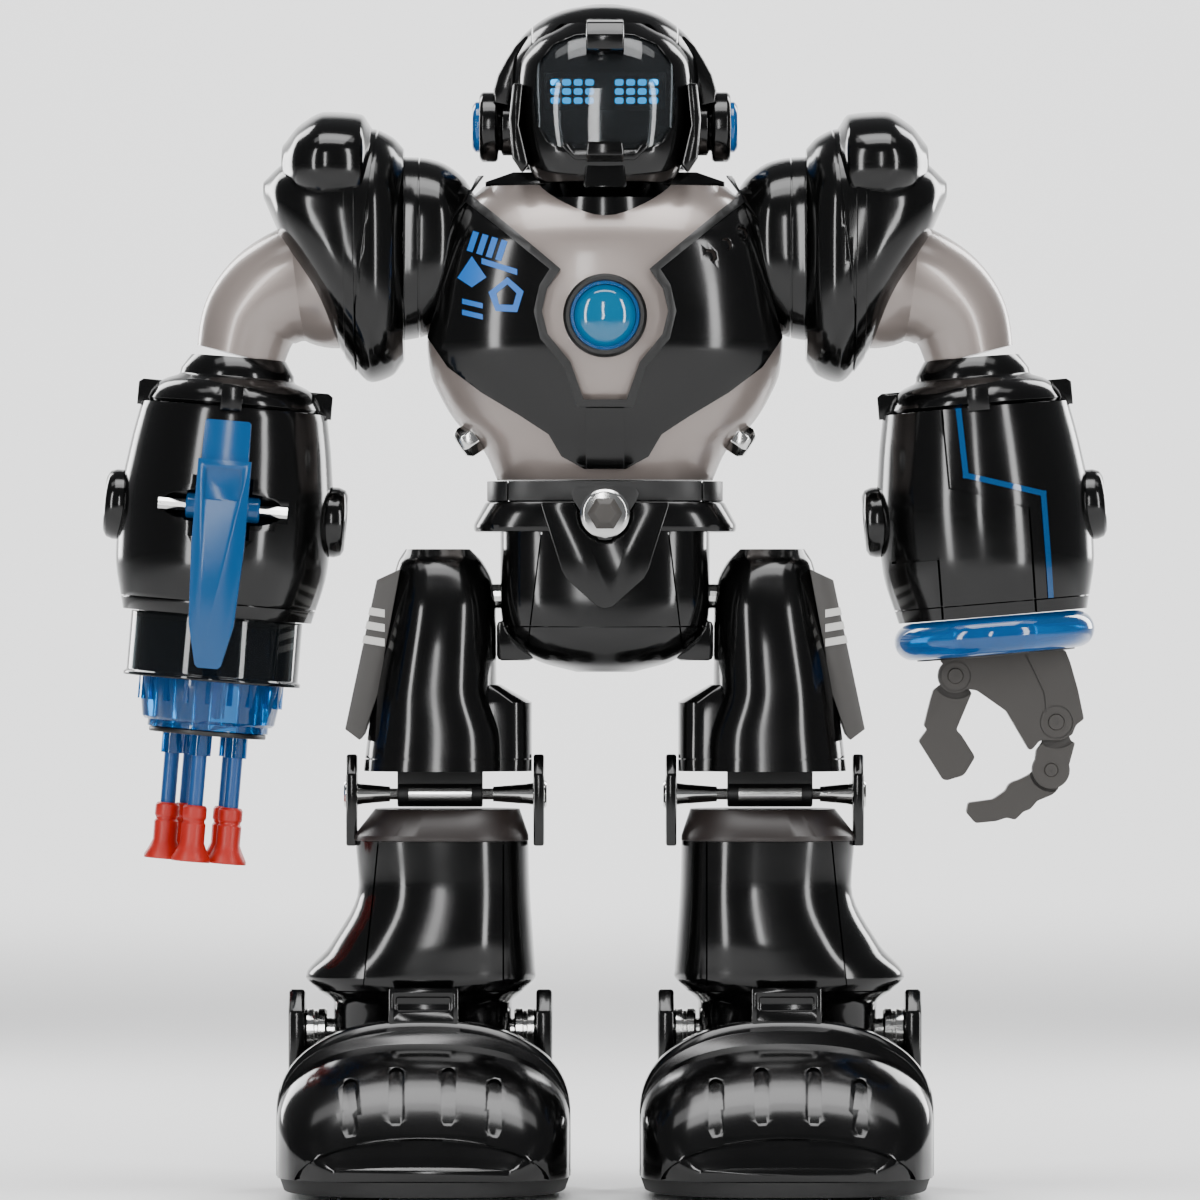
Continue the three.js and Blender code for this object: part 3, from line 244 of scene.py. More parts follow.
# Rings across an axis. Each station is (along, lowA, highA, lowB, highB, squareness).
def loft(stations, axis="z", grow=0, around=72, steps=5, smooth=True):
    table = sorted(stations)
    keys = [s[0] for s in table]
    columns = [[s[c] for s in table] for c in range(1, 6)]
    if smooth:
        at = np.unique(np.concatenate([np.linspace(a, b, steps + 1) for a, b in zip(keys, keys[1:])]))
        columns = [eased(keys, column, at) for column in columns]
    else:
        at = np.array(keys, float)
    at[0] -= grow
    at[-1] += grow
    turn = np.linspace(0, 2 * math.pi, around, endpoint=False)
    rings = []
    for along, lowA, highA, lowB, highB, square in zip(at, *columns):
        a = (lowA + highA) / 2 + ((highA - lowA) / 2 + grow) * signedPower(np.cos(turn), 2 / square)
        b = (lowB + highB) / 2 + ((highB - lowB) / 2 + grow) * signedPower(np.sin(turn), 2 / square)
        rings.append([(p, q, along) if axis == "z" else (along, p, q) if axis == "x" else (p, along, q)
                      for p, q in zip(a, b)])
    return skin("loft", rings)


def turned(profile, axis="z", around=64, at=(0, 0)):
    turn = np.linspace(0, 2 * math.pi, around, endpoint=False)
    rings = []
    for radius, along in profile:
        radius = max(radius, 1e-4)
        ring = [(radius * math.cos(t), radius * math.sin(t)) for t in turn]
        rings.append([(at[0] + a, at[1] + b, along) if axis == "z" else (along, at[0] + a, at[1] + b) if axis == "x"
                      else (at[0] + a, along, at[1] + b) for a, b in ring])
    return skin("turned", rings)


def rod(axis, radius, low, high, at, around=48, edge=0.0):
    if not edge:
        return turned([(radius, low), (radius, high)], axis, around, at)
    return turned([(radius - edge, low), (radius, low + edge), (radius, high - edge), (radius - edge, high)], axis,
        around, at)


# An outline between two depths: across Y it is drawn in X and Z, across X in Y and Z, across Z in X and Y.
def prism(outline, low, high, axis="y"):
    def at(a, b, depth):
        return (a, depth, b) if axis == "y" else (depth, a, b) if axis == "x" else (a, b, depth)
    count = len(outline)
    points = [at(a, b, low) for a, b in outline] + [at(a, b, high) for a, b in outline]
    faces = [tuple(range(count)), tuple(range(2 * count - 1, count - 1, -1))]
    faces += [(i, (i + 1) % count, count + (i + 1) % count, count + i) for i in range(count)]
    return newObject("prism", points, faces)


def block(x0, x1, y0, y1, z0, z1):
    return prism([(x0, z0), (x1, z0), (x1, z1), (x0, z1)], y0, y1)


def mirrored(outline):
    return list(outline) + [(-a, b) for a, b in reversed(outline) if abs(a) > 1e-6]


# The outline with its corners rounded.
def rounded(outline, radius, steps=5):
    made = []
    count = len(outline)
    for i in range(count):
        corner = Vector(outline[i])
        before, after = Vector(outline[i - 1]) - corner, Vector(outline[(i + 1) % count]) - corner
        reach = min(radius, before.length * 0.45, after.length * 0.45)
        start, end = corner + before.normalized() * reach, corner + after.normalized() * reach
        for k in range(steps + 1):
            t = k / steps
            made.append(tuple((1 - t) ** 2 * start + 2 * t * (1 - t) * corner + t ** 2 * end))
    return made


def applied(target):
    bpy.context.view_layer.update()
    mesh = bpy.data.meshes.new_from_object(target.evaluated_get(bpy.context.evaluated_depsgraph_get()))
    target.modifiers.clear()
    old = target.data
    target.data = mesh
    bpy.data.meshes.remove(old)
    return target


def combine(target, others, operation):
    for other in others:
        step = target.modifiers.new("combine", "BOOLEAN")
        step.operation, step.object, step.solver = operation, other, "EXACT"
    applied(target)
    for other in others:
        bpy.data.objects.remove(other)
    return target


def cut(target, *others):
    return combine(target, others, "DIFFERENCE")


def keep(target, *others):
    return combine(target, others, "INTERSECT")


def add(target, *others):
    return combine(target, others, "UNION")


def moved(target, matrix):
    target.data.transform(matrix)
    if matrix.determinant() < 0:
        target.data.flip_normals()
    return target


def copyOf(target):
    twin = target.copy()
    twin.data = target.data.copy()
    scene.collection.objects.link(twin)
    return twin


# A thin slab that leaves a parting line where it crosses a shell.
def slit(point, normal, width=0.45, reach=260):
    slab = block(-reach, reach, -reach, reach, -width / 2, width / 2)
    turn = Vector((0, 0, 1)).rotation_difference(Vector(normal)).to_matrix().to_4x4()
    return moved(slab, Matrix.Translation(point) @ turn)


# Parting lines only as deep as the core inside the solid.
def score(solid, core, *slabs):
    for slab in slabs:
        cut(slab, copyOf(core))
        cut(solid, slab)
    bpy.data.objects.remove(core)
    return solid


# The part of a lofted body's skin between two offsets, inside a cutter.
def patch(stations, low, high, cutter, axis="z", **options):
    layer = cut(loft(stations, axis, grow=high, **options), loft(stations, axis, grow=low, **options))
    return keep(layer, cutter)


made = {}
riding = {"yoke_right": "torso", "yoke_left": "torso"}


# Bevels a solid, gives it its material and puts it in place on its body, or on both sides of the robot.
def put(solid, name, body, material, stands=(), bevel=0.4, angle=32):
    if bevel:
        step = solid.modifiers.new("edges", "BEVEL")
        step.width, step.segments, step.limit_method = bevel, 2, "ANGLE"
        step.angle_limit, step.use_clamp_overlap, step.miter_outer = math.radians(angle), True, "MITER_ARC"
        applied(solid)
    solid.data.materials.clear()
    solid.data.materials.append(material)
    targets = {name: body} if body in places else {f"{name}_{side}": f"{body}_{side}" for side in sides}
    for i, (title, rides) in enumerate(targets.items()):
        piece = solid if i == len(targets) - 1 else copyOf(solid)
        moved(piece, Matrix.Scale(mm, 4) @ places[rides])
        piece.name = title
        piece.data.name = title
        piece.data.polygons.foreach_set("use_smooth", [True] * len(piece.data.polygons))
        piece.data.set_sharp_from_angle(angle=math.radians(29))
        piece.data.update()
        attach(piece, riding.get(rides, rides))
        nodes = [n if rides == body else n + title[len(name):] for n in stands]
        if nodes:
            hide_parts(*nodes)
        made[title] = piece
    return made[title]


# repeated details
def newTree(name, inputs):
    tree = bpy.data.node_groups.new(name, "GeometryNodeTree")
    for title, kind, value in inputs:
        socket = tree.interface.new_socket(title, in_out="INPUT", socket_type=kind)
        if value is not None:
            socket.default_value = value
    tree.interface.new_socket("Geometry", in_out="OUTPUT", socket_type="NodeSocketGeometry")
    return tree


# Copies of an item on a grid of columns and rows, each leaning by a set turn.
def buildGridTree():
    tree = newTree("copies on a grid", [
        ("Item", "NodeSocketObject", None), ("Columns", "NodeSocketInt", 3), ("Rows", "NodeSocketInt", 1),
        ("Pitch", "NodeSocketVector", (1, 0, 1)), ("Turn", "NodeSocketVector", (0, 0, 0)),
        ("Material", "NodeSocketMaterial", None)])
    given = nodeIn(tree, "NodeGroupInput").outputs
    parts = nodeIn(tree, "ShaderNodeSeparateXYZ", links={"Vector": given["Pitch"]}).outputs
    across = nodeIn(tree, "ShaderNodeCombineXYZ", links={"X": parts["X"], "Y": parts["Y"]})
    upward = nodeIn(tree, "ShaderNodeCombineXYZ", links={"Z": parts["Z"]})
    row = nodeIn(tree, "GeometryNodeMeshLine", {"mode": "OFFSET"},
        {"Count": given["Columns"], "Offset": across.outputs["Vector"]})
    column = nodeIn(tree, "GeometryNodeMeshLine", {"mode": "OFFSET"},
        {"Count": given["Rows"], "Offset": upward.outputs["Vector"]})
    lines = nodeIn(tree, "GeometryNodeInstanceOnPoints",
        links={"Points": column.outputs["Mesh"], "Instance": row.outputs["Mesh"]})
    flat = nodeIn(tree, "GeometryNodeRealizeInstances", links={"Geometry": lines.outputs["Instances"]})
    item = nodeIn(tree, "GeometryNodeObjectInfo", {"transform_space": "ORIGINAL"}, {"Object": given["Item"]})
    copies = nodeIn(tree, "GeometryNodeInstanceOnPoints", links={
        "Points": flat.outputs["Geometry"], "Instance": item.outputs["Geometry"], "Rotation": given["Turn"]})
    return endTree(tree, copies, given)


# Copies of an item round the Z axis, each turned to face outwards.
def buildRingTree():
    tree = newTree("copies round an axis", [
        ("Item", "NodeSocketObject", None), ("Count", "NodeSocketInt", 6), ("Start", "NodeSocketFloat", 0.0),
        ("Step", "NodeSocketFloat", 1.0), ("Material", "NodeSocketMaterial", None)])
    given = nodeIn(tree, "NodeGroupInput").outputs
    points = nodeIn(tree, "GeometryNodeMeshLine", {"mode": "OFFSET", "Offset": (0, 0, 0)},
        {"Count": given["Count"]})
    number = nodeIn(tree, "GeometryNodeInputIndex")
    angle = nodeIn(tree, "ShaderNodeMath", {"operation": "MULTIPLY_ADD"}, {
        0: number.outputs["Index"], 1: given["Step"], 2: given["Start"]})
    turn = nodeIn(tree, "ShaderNodeCombineXYZ", links={"Z": angle.outputs["Value"]})
    item = nodeIn(tree, "GeometryNodeObjectInfo", {"transform_space": "ORIGINAL"}, {"Object": given["Item"]})
    copies = nodeIn(tree, "GeometryNodeInstanceOnPoints", links={
        "Points": points.outputs["Mesh"], "Instance": item.outputs["Geometry"], "Rotation": turn.outputs["Vector"]})
    return endTree(tree, copies, given)


def endTree(tree, copies, given):
    real = nodeIn(tree, "GeometryNodeRealizeInstances", links={"Geometry": copies.outputs["Instances"]})
    coated = nodeIn(tree, "GeometryNodeSetMaterial", links={"Geometry": real.outputs["Geometry"],
        "Material": given["Material"]})
    nodeIn(tree, "NodeGroupOutput", links={"Geometry": coated.outputs["Geometry"]})
    return tree


# A round tube along a line of points whose "thick" values are its radii.
def buildTubeTree():
    tree = newTree("tube along a path", [
        ("Item", "NodeSocketObject", None), ("Sides", "NodeSocketInt", 48),
        ("Material", "NodeSocketMaterial", None)])
    given = nodeIn(tree, "NodeGroupInput").outputs
    item = nodeIn(tree, "GeometryNodeObjectInfo", {"transform_space": "ORIGINAL"}, {"Object": given["Item"]})
    path = nodeIn(tree, "GeometryNodeMeshToCurve", links={"Mesh": item.outputs["Geometry"]})
    ring = nodeIn(tree, "GeometryNodeCurvePrimitiveCircle", {"Radius": 1.0}, {"Resolution": given["Sides"]})
    thick = nodeIn(tree, "GeometryNodeInputNamedAttribute", {"data_type": "FLOAT", "Name": "thick"})
    tube = nodeIn(tree, "GeometryNodeCurveToMesh", {"Fill Caps": True}, {
        "Curve": path.outputs["Curve"], "Profile Curve": ring.outputs["Curve"],
        "Scale": thick.outputs["Attribute"]})
    coated = nodeIn(tree, "GeometryNodeSetMaterial", links={"Geometry": tube.outputs["Mesh"],
        "Material": given["Material"]})
    nodeIn(tree, "NodeGroupOutput", links={"Geometry": coated.outputs["Geometry"]})
    return tree


gridTree = buildGridTree()
tubeTree = buildTubeTree()
ringTree = buildRingTree()


# Runs a tree on an item and gives its copies as one plain mesh object.
def repeated(tree, item, **values):
    host = wrapped("copies", bpy.data.meshes.new("copies"))
    step = host.modifiers.new("copies", "NODES")
    step.node_group = tree
    names = {socket.name: socket.identifier for socket in tree.interface.items_tree if socket.in_out == "INPUT"}
    step[names["Item"]] = item
    for title, value in values.items():
        step[names[title]] = value
    applied(host)
    bpy.data.objects.remove(item)
    tidied(host.data)
    return host


# A tube through (point, radius) pairs, eased between them.
def tube(stops, sides=56, steps=8):
    keys = list(range(len(stops)))
    at = np.linspace(0, keys[-1], keys[-1] * steps + 1)
    columns = [eased(keys, [stop[0][c] for stop in stops], at) for c in range(3)]
    radii = eased(keys, [stop[1] for stop in stops], at)
    mesh = bpy.data.meshes.new("path")
    mesh.from_pydata(list(zip(*columns)), [(i, i + 1) for i in range(len(at) - 1)], [])
    mesh.attributes.new("thick", "FLOAT", "POINT").data.foreach_set("value", list(radii))
    path = bpy.data.objects.new("path", mesh)
    return repeated(tubeTree, path, Sides=sides, Material=blackGloss)


print("detail trees made")


# head
head = {
    "helmet": [
        (5.5, -24.6, 24.6, -18, 24, 2.3), (11, -28.6, 28.6, -22, 29, 2.3), (18.8, -30.6, 30.6, -24, 32, 2.3),
        (31, -31.4, 31.4, -26, 33, 2.25), (39, -30.4, 30.4, -26, 32, 2.2), (46, -26.6, 26.6, -23, 28.4, 2.15),
        (51.5, -20.6, 20.6, -18, 22, 2.1), (55.2, -13, 13, -11, 14.6, 2.05), (56.8, -5, 5, -4, 6, 2),
    ],
    "face": [
        (0.7, -20, 20, -32, 6, 2.9), (4, -22.8, 22.8, -34.6, 6, 2.9), (13, -25.4, 25.4, -36, 6, 2.9),
        (27, -27.2, 27.2, -35.6, 6, 2.7), (37, -26.4, 26.4, -33, 6, 2.5), (44, -22.5, 22.5, -29.6, 6, 2.3),
        (50, -13, 13, -23.5, 2, 2.2),
    ],
    "opening": [(0, 46.6), (9, 46), (16, 43), (20.6, 37), (22.2, 28), (21.4, 19), (17.6, 12.6), (12, 9.8),
    (0, 9.4)],
    "ear": 18.8,
}


def buildHead():
    helmet = cut(loft(head["helmet"]), loft(head["helmet"], grow=-2.2, around=48, steps=3))
    mouth = loft([(-12, -28.2, 28.2, -70, -13, 5), (33, -28.6, 28.6, -70, -13, 4.4),
        (50, -21.5, 21.5, -70, -13, 3)])
    cut(helmet, mouth, slit((22.6, 0, 0), (1, 0, 0)), slit((-22.6, 0, 0), (1, 0, 0)), slit((0, 5, 0), (0, 1, 0)),
        slit((0, 0, head["ear"] - 11), (0, 0, 1)))
    put(helmet, "helmetShell", "head", blackGloss, ["helmet_shell"], 0.5)

    opening = prism(mirrored(head["opening"]), -80, -12)
    surround = cut(loft(head["face"]), loft(head["face"], grow=-2.4, around=48, steps=3), opening,
                 block(-60, 60, -16.5, 60, -20, 80))
    cut(surround, slit((24.4, 0, 0), (1, 0.1, 0), 0.5), slit((-24.4, 0, 0), (1, -0.1, 0), 0.5))
    put(surround, "visorFrame", "head", blackGloss, ["visor_frame"], 0.55)

    wider = [(a * 1.03, b + (0.6 if b > 26 else -0.6)) for a, b in head["opening"]]
    lens = cut(loft(head["face"], grow=-0.9), loft(head["face"], grow=-2.2, around=48, steps=3))
    put(keep(lens, prism(mirrored(wider), -80, -14)), "visorLens", "head", visorSmoke,
        ["visor_lens"], 0)
    put(block(-18.4, 18.4, -29.4, -27.4, 22.6, 34), "eyeBoard", "head", blackSatin,
        ["eye_led_board"], 0.3)

    for title, start in (("eyesRight", -16.6), ("eyesLeft", 3.0)):
        dot = prism(rounded([(0, 0), (2.7, 0), (2.7, 1.9), (0, 1.9)], 0.8, 3), -0.7, 0.5)
        dots = repeated(gridTree, dot, Columns=4, Rows=3, Pitch=(3.5, 0, 2.75), Turn=(0, 0, 0), Material=ledCyan)
        put(moved(dots, Matrix.Translation((start, -29.9, 24.6))), title, "head", ledCyan, bevel=0)

    chin = prism(mirrored([(0, 12.6), (5.4, 12.6), (6.7, -1.4), (0, -1.4)]), -38.6, -28)
    cut(chin, block(-20, 20, -34.4, -20, -8, 2.6), moved(block(-20, 20, -10, 0, -6, 4),
        Matrix.Translation((0, -36.4, 2.6)) @ Matrix.Rotation(math.radians(-28), 4, "X")))
    put(chin, "chinBlock", "head", blackGloss, bevel=0.7)
    lip = prism(mirrored([(0, 10.6), (9.5, 10.6), (12.4, 13.4), (13.4, 11.2), (9.2, 7), (0, 7)]), -36.6, -30)
    put(lip, "lipBar", "head", blackGloss, bevel=0.5)
    brow = prism([(-31.4, 39.6), (-35.2, 41.2), (-35.8, 45.4), (-33, 49.6), (-26, 51), (-24, 44)], -5.8, 5.8, "x")
    put(brow, "browBlock", "head", blackGloss, bevel=0.6)
    for sign in (-1, 1):
        strap = prism([(sign * a, b) for a, b in [
            (29, 25), (34.2, 26), (34.6, 29.8), (33.2, 34.6), (30.8, 39), (28, 43.4), (24.4, 47), (22, 44),
            (27, 34)]], -9, 6)
        put(strap, "helmetStrapRight" if sign < 0 else "helmetStrapLeft", "head", blackGloss,
            bevel=0.6)
        jaw = prism([(sign * a, b) for a, b in [(25.6, 3.6), (28.6, 8), (29.6, 20), (28.4, 31), (25.2, 31),
            (26.4, 18), (23.4, 6)]],
                    -30, -18)
        put(jaw, "jawRight" if sign < 0 else "jawLeft", "head", blackGloss, bevel=0.9)

    ear = turned([(8.4, 27.6), (8.9, 28.2), (8.9, 31.8), (7.4, 32.4), (7.4, 33), (10.2, 33.2), (10.9, 34),
        (10.9, 38),
                  (10, 38.9), (8.6, 39.1), (8.2, 38.3), (0, 38.3)], "x", 56, (0, head["ear"]))
    lamp = turned([(0, 38.2), (7.9, 38.2), (7.9, 40.2), (6.6, 41.2), (0, 41.2)], "x", 56, (0, head["ear"]))
    for sign, side in ((-1, "Right"), (1, "Left")):
        flip = Matrix.Diagonal((sign, 1, 1, 1))
        put(moved(copyOf(ear), flip), f"earPod{side}", "head", blackGloss,
            [f"ear_pod_{side.lower()}"], 0.4)
        put(moved(copyOf(lamp), flip), f"earLamp{side}", "head", ringGlow, bevel=0.3)
    bpy.data.objects.remove(ear)
    bpy.data.objects.remove(lamp)
    neck = turned([(8, -14), (8, -4), (11, -2), (16, 5), (16, 8)])
    put(neck, "neckPost", "head", blackSatin, bevel=0.3)


buildHead()
print("head made")

# torso
torso = {
    "skin": [
        (0, -33.5, 33.5, -22, 22, 2.8), (9, -37.6, 37.6, -26, 25, 2.7), (18.2, -46.4, 46.4, -31, 28, 2.6),
        (25.5, -50.9, 50.9, -34, 30, 2.6), (33.7, -54.3, 54.3, -36.4, 32, 2.6), (42.8, -55.2, 55.2, -38, 33, 2.6),
        (58, -54, 54, -38, 33, 2.6), (73, -51, 51, -36, 32, 2.6), (83, -46, 46, -31, 29, 2.6),
        (91, -38, 38, -23, 24, 2.6),
    ],
    "armour": [(40, 95), (55, 44), (48.6, 34.6), (38, 26.6), (26, 19.4), (17.4, 13.8), (13.4, 7), (6.4, 3.2)],
    "keyhole": [(6.6, 24.4), (10.6, 35.8), (17.6, 44.4), (19.4, 51.5), (17.8, 58.4), (13.6, 64.4), (41.9, 88.4),
    (37, 95)],
    "lensHeight": 50.2,
    "door": (-21, 21, 16, 62),
}


yokeStations = [(40, -13, 13, 0, 22, 2.2), (44, -22, 22, -11, 28, 2.3), (51.5, -27, 27, -19, 33, 2.5),
                (57, -27.5, 27.5, -21.5, 34.2, 2.5), (62.3, -26.2, 26.2, -22.5, 34.5, 2.5)]


def buildTorso():
    skinSteps = dict(around=96, steps=5)
    x0, x1, z0, z1 = torso["door"]
    collarRoom = rod("z", 24.2, 76, 120, (0, -8))
    shell = cut(loft(torso["skin"], **skinSteps), loft(torso["skin"], grow=-2.2, around=64, steps=3), collarRoom,
                rod("z", 11.5, -20, 12, (0, 0)))
    front = keep(copyOf(shell), block(-200, 200, -200, 0, -50, 200))
    rearHalf = keep(shell, block(-200, 200, 0, 200, -50, 200))
    cut(front, rod("y", 12.9, -80, -20, (0, torso["lensHeight"])))
    put(front, "torsoFront", "torso", pearlGrey, ["torso_front"], 0.45)
    cut(rearHalf, block(x0 - 0.5, x1 + 0.5, 10, 80, z0 - 0.5, z1 + 0.5), block(-3.4, 7.4, 10, 80, 6.4, 10.6))
    grille = repeated(gridTree, block(0, 1.6, 15, 60, 0, 9), Columns=9, Rows=1, Pitch=(3.6, 0, 1), Turn=(0, 0, 0),
                      Material=blackSatin)
    cut(rearHalf, moved(grille, Matrix.Translation((-15.2, 0, 68.5))))
    put(rearHalf, "torsoBack", "torso", pearlGrey, ["torso_back"], 0.45)
    door = keep(patch(torso["skin"], -2.2, 0, block(x0, x1, 10, 80, z0, z1), **skinSteps))
    cut(door, block(-6, 6, 31, 60, z1 - 4.6, z1 + 2))
    put(door, "batteryDoor", "battery_door", pearlGrey, ["battery_door"], 0.4)
    slider = block(-3, 3, 20, 27.6, 6.8, 10.2)
    put(slider, "powerSwitch", "power_switch", blackSatin, ["power_switch"], 0.5)

    edge = prism(mirrored(torso["armour"]), -120, -6)
    opening = mirrored(torso["keyhole"])
    cover = cut(patch(torso["skin"], 0.3, 2.6, edge, **skinSteps), prism(opening, -130, -2))
    arc = np.linspace(-0.9, 1.9, 11)
    crescent = prism([(2.1 * math.cos(t), 2.1 * math.sin(t)) for t in arc]
                     + [(1.7 * math.cos(t) - 0.5, 1.7 * math.sin(t) - 0.35) for t in reversed(arc)], -90, -20)
    vents = repeated(gridTree, crescent, Columns=3, Rows=1, Pitch=(6.1, 0, 0), Turn=(0, 0.62, 0),
        Material=blackSatin)
    cut(cover, moved(vents, Matrix.Translation((32, 0, 68.6)) @ Matrix.Rotation(-0.62, 4, "Y")))
    put(cover, "chestArmour", "torso", blackGloss, ["chest_armor"], 0.55)

    rim = [(8.6, 22), (12.6, 34.6), (19.9, 43), (21.9, 51.5), (20.1, 59.6), (17, 64.4), (43.8, 86.4), (36, 100)]
    trim = cut(patch(torso["skin"], 0.3, 3.2, prism(mirrored(rim), -120, -6), **skinSteps),
        prism(opening, -130, -2))
    put(trim, "keyholeTrim", "torso", blackSatin, bevel=0.35)
    keel = patch(torso["skin"], 0.3, 3.6, prism(mirrored([(5.9, 21.8), (5.9, 3.4)]), -120, -6), **skinSteps)
    put(keel, "chestKeel", "torso", blackGloss, bevel=0.6)

    bars = repeated(gridTree, block(0, 1.9, -90, -10, 0, 6.4), Columns=4, Rows=1, Pitch=(3.1, 0, 1), Turn=(0, 0, 0),
                    Material=printedBluePaintedGlow)
    mark = moved(bars, Matrix.Translation((-42.6, 0, 70.4)) @ Matrix.Rotation(math.radians(18), 4, "Y"))
    shapes = [
        [(-45.5, 62), (-41, 68.6), (-36.5, 62), (-41, 59)],
        [(-38, 68), (-27, 64.4), (-27, 62.6), (-38, 66.2)],
        [(-35.8, 57.4), (-30, 62), (-25, 57.6), (-27, 51.2), (-33.6, 51.6)],
        [(-44, 55.6), (-37.6, 54), (-37.6, 52.4), (-44, 54)],
        [(-44, 52.2), (-37.6, 50.6), (-37.6, 49), (-44, 50.6)],
    ]
    hole = prism([(-33.4, 57), (-30, 59.8), (-27.2, 57), (-28.2, 53.4), (-32.6, 53.6)], -95, -5)
    figures = add(mark, *[prism(shape, -90, -10) for shape in shapes])
    cut(figures, hole)
    chestPrint = patch(torso["skin"], 2.55, 2.72, figures, **skinSteps)
    # the chest print's blue carries the ink material's painted glow
    put(chestPrint, "chestPrint", "torso", printedBluePaintedGlow, bevel=0)

    height = torso["lensHeight"]
    ring = skinRing([(9.6, -36), (10.6, -36), (10.6, -41), (9.6, -41)], height)
    outer = skinRing([(10.5, -30), (12.8, -30), (12.8, -40.6), (12, -41.6), (11, -41.6), (10.5, -40.8)], height)
    put(outer, "lensBezel", "torso", blackSatin, bevel=0)
    put(ring, "lensRing", "torso", ringGlow, bevel=0)
    dome = turned([(0, -34), (9.4, -34), (9.4, -38)] + [
        (9.4 * math.cos(t), -38 - 3.9 * math.sin(t)) for t in np.linspace(0.15, math.pi / 2, 10)], "y", 72,
        (0, height))
    put(dome, "chestLens", "torso", lensGlow, ["chest_lens"], 0)

    collar = add(rod("z", 23.6, 77.5, 94.2, (0, -8), 72, 0.8),
                 loft([(91.3, -37.4, 37.4, -6, 24, 3.4), (93, -37.4, 37.4, -6, 24, 3.4),
                     (96, -28.6, 28.6, -6, 20, 3)], smooth=False))
    cut(collar, rod("z", 8.6, 60, 120, (0, 0)), keep(rod("z", 44, 87, 130, (0, 0)),
        block(-60, 60, -60, 4, 80, 140)))
    put(collar, "neckCollar", "torso", blackGloss, ["neck_collar"], 0.6)

    yoke = score(loft(yokeStations, "x", around=88), loft(yokeStations, "x", grow=-0.8, around=88),
        slit((57.6, 0, 0), (1, 0, 0), 0.5))
    rise = pivots["arm_right"].z - pivots["torso"].z
    put(moved(yoke, Matrix.Translation((0, 0, rise))), "shoulderYoke", "yoke", blackGloss,
        ["shoulder_yoke"], 0.5)
    knob = turned([(0, -3), (5.4, -3), (5.4, 1.4), (4.2, 3), (2.2, 3.2), (0, 3.2)], "x", 8)
    moved(knob, Matrix.Translation((42.4, -9, 12.2)) @ Matrix.Rotation(math.radians(33), 4,
        "Y") @ Matrix.Rotation(math.radians(22.5), 4, "X"))
    put(knob, "ribKnob", "yoke", platedSilver, bevel=0.4)


def skinRing(profile, height, axis="y", around=72):
    turn = np.linspace(0, 2 * math.pi, around, endpoint=False)
    count = len(profile)
    points = [(r * math.cos(t), along, height + r * math.sin(t)) if axis == "y" else (r * math.cos(t),
        r * math.sin(t), along + height)
              for t in turn for r, along in profile]
    faces = [(i * count + j, i * count + (j + 1) % count, ((i + 1) % around) * count + (j + 1) % count,
        ((i + 1) % around) * count + j)
             for i in range(around) for j in range(count)]
    return newObject("ring", points, faces)


buildTorso()
print("torso made")

# pelvis
pelvis = {
    "shell": [
        (-23.5, -9, 9, -14, 12, 2.2), (-20.5, -20, 20, -21, 18, 2.4), (-15.5, -28, 28, -25.5, 22, 2.7),
        (-9.5, -31.8, 31.8, -27.5, 24.4, 3), (0, -32.5, 32.5, -28, 25, 3.4), (19.9, -32.5, 32.5, -28, 25, 3.4),
    ],
    "skirt": [(19.9, -40.6, 40.6, -30.8, 28, 4), (22, -40.8, 40.8, -31, 28, 4), (29.2, -37, 37, -29, 26, 4)],
    "belt": [(29.5, -36.6, 36.6, -29, 26.5, 4), (35.5, -36.6, 36.6, -29, 26.5, 4)],
    "plate": [(0, 28.9), (19.6, 28.9), (19.6, 27.6), (13.4, 8), (12, 5.4), (2.4, -3.2), (0, -3.9)],
    "badge": [(0, 17.2), (1.9, 17.4), (9.8, 29.6), (10.4, 31.6), (9.2, 33.4), (7.4, 33.9), (0, 33.9)],
    "badgeHeight": 25.4,
}


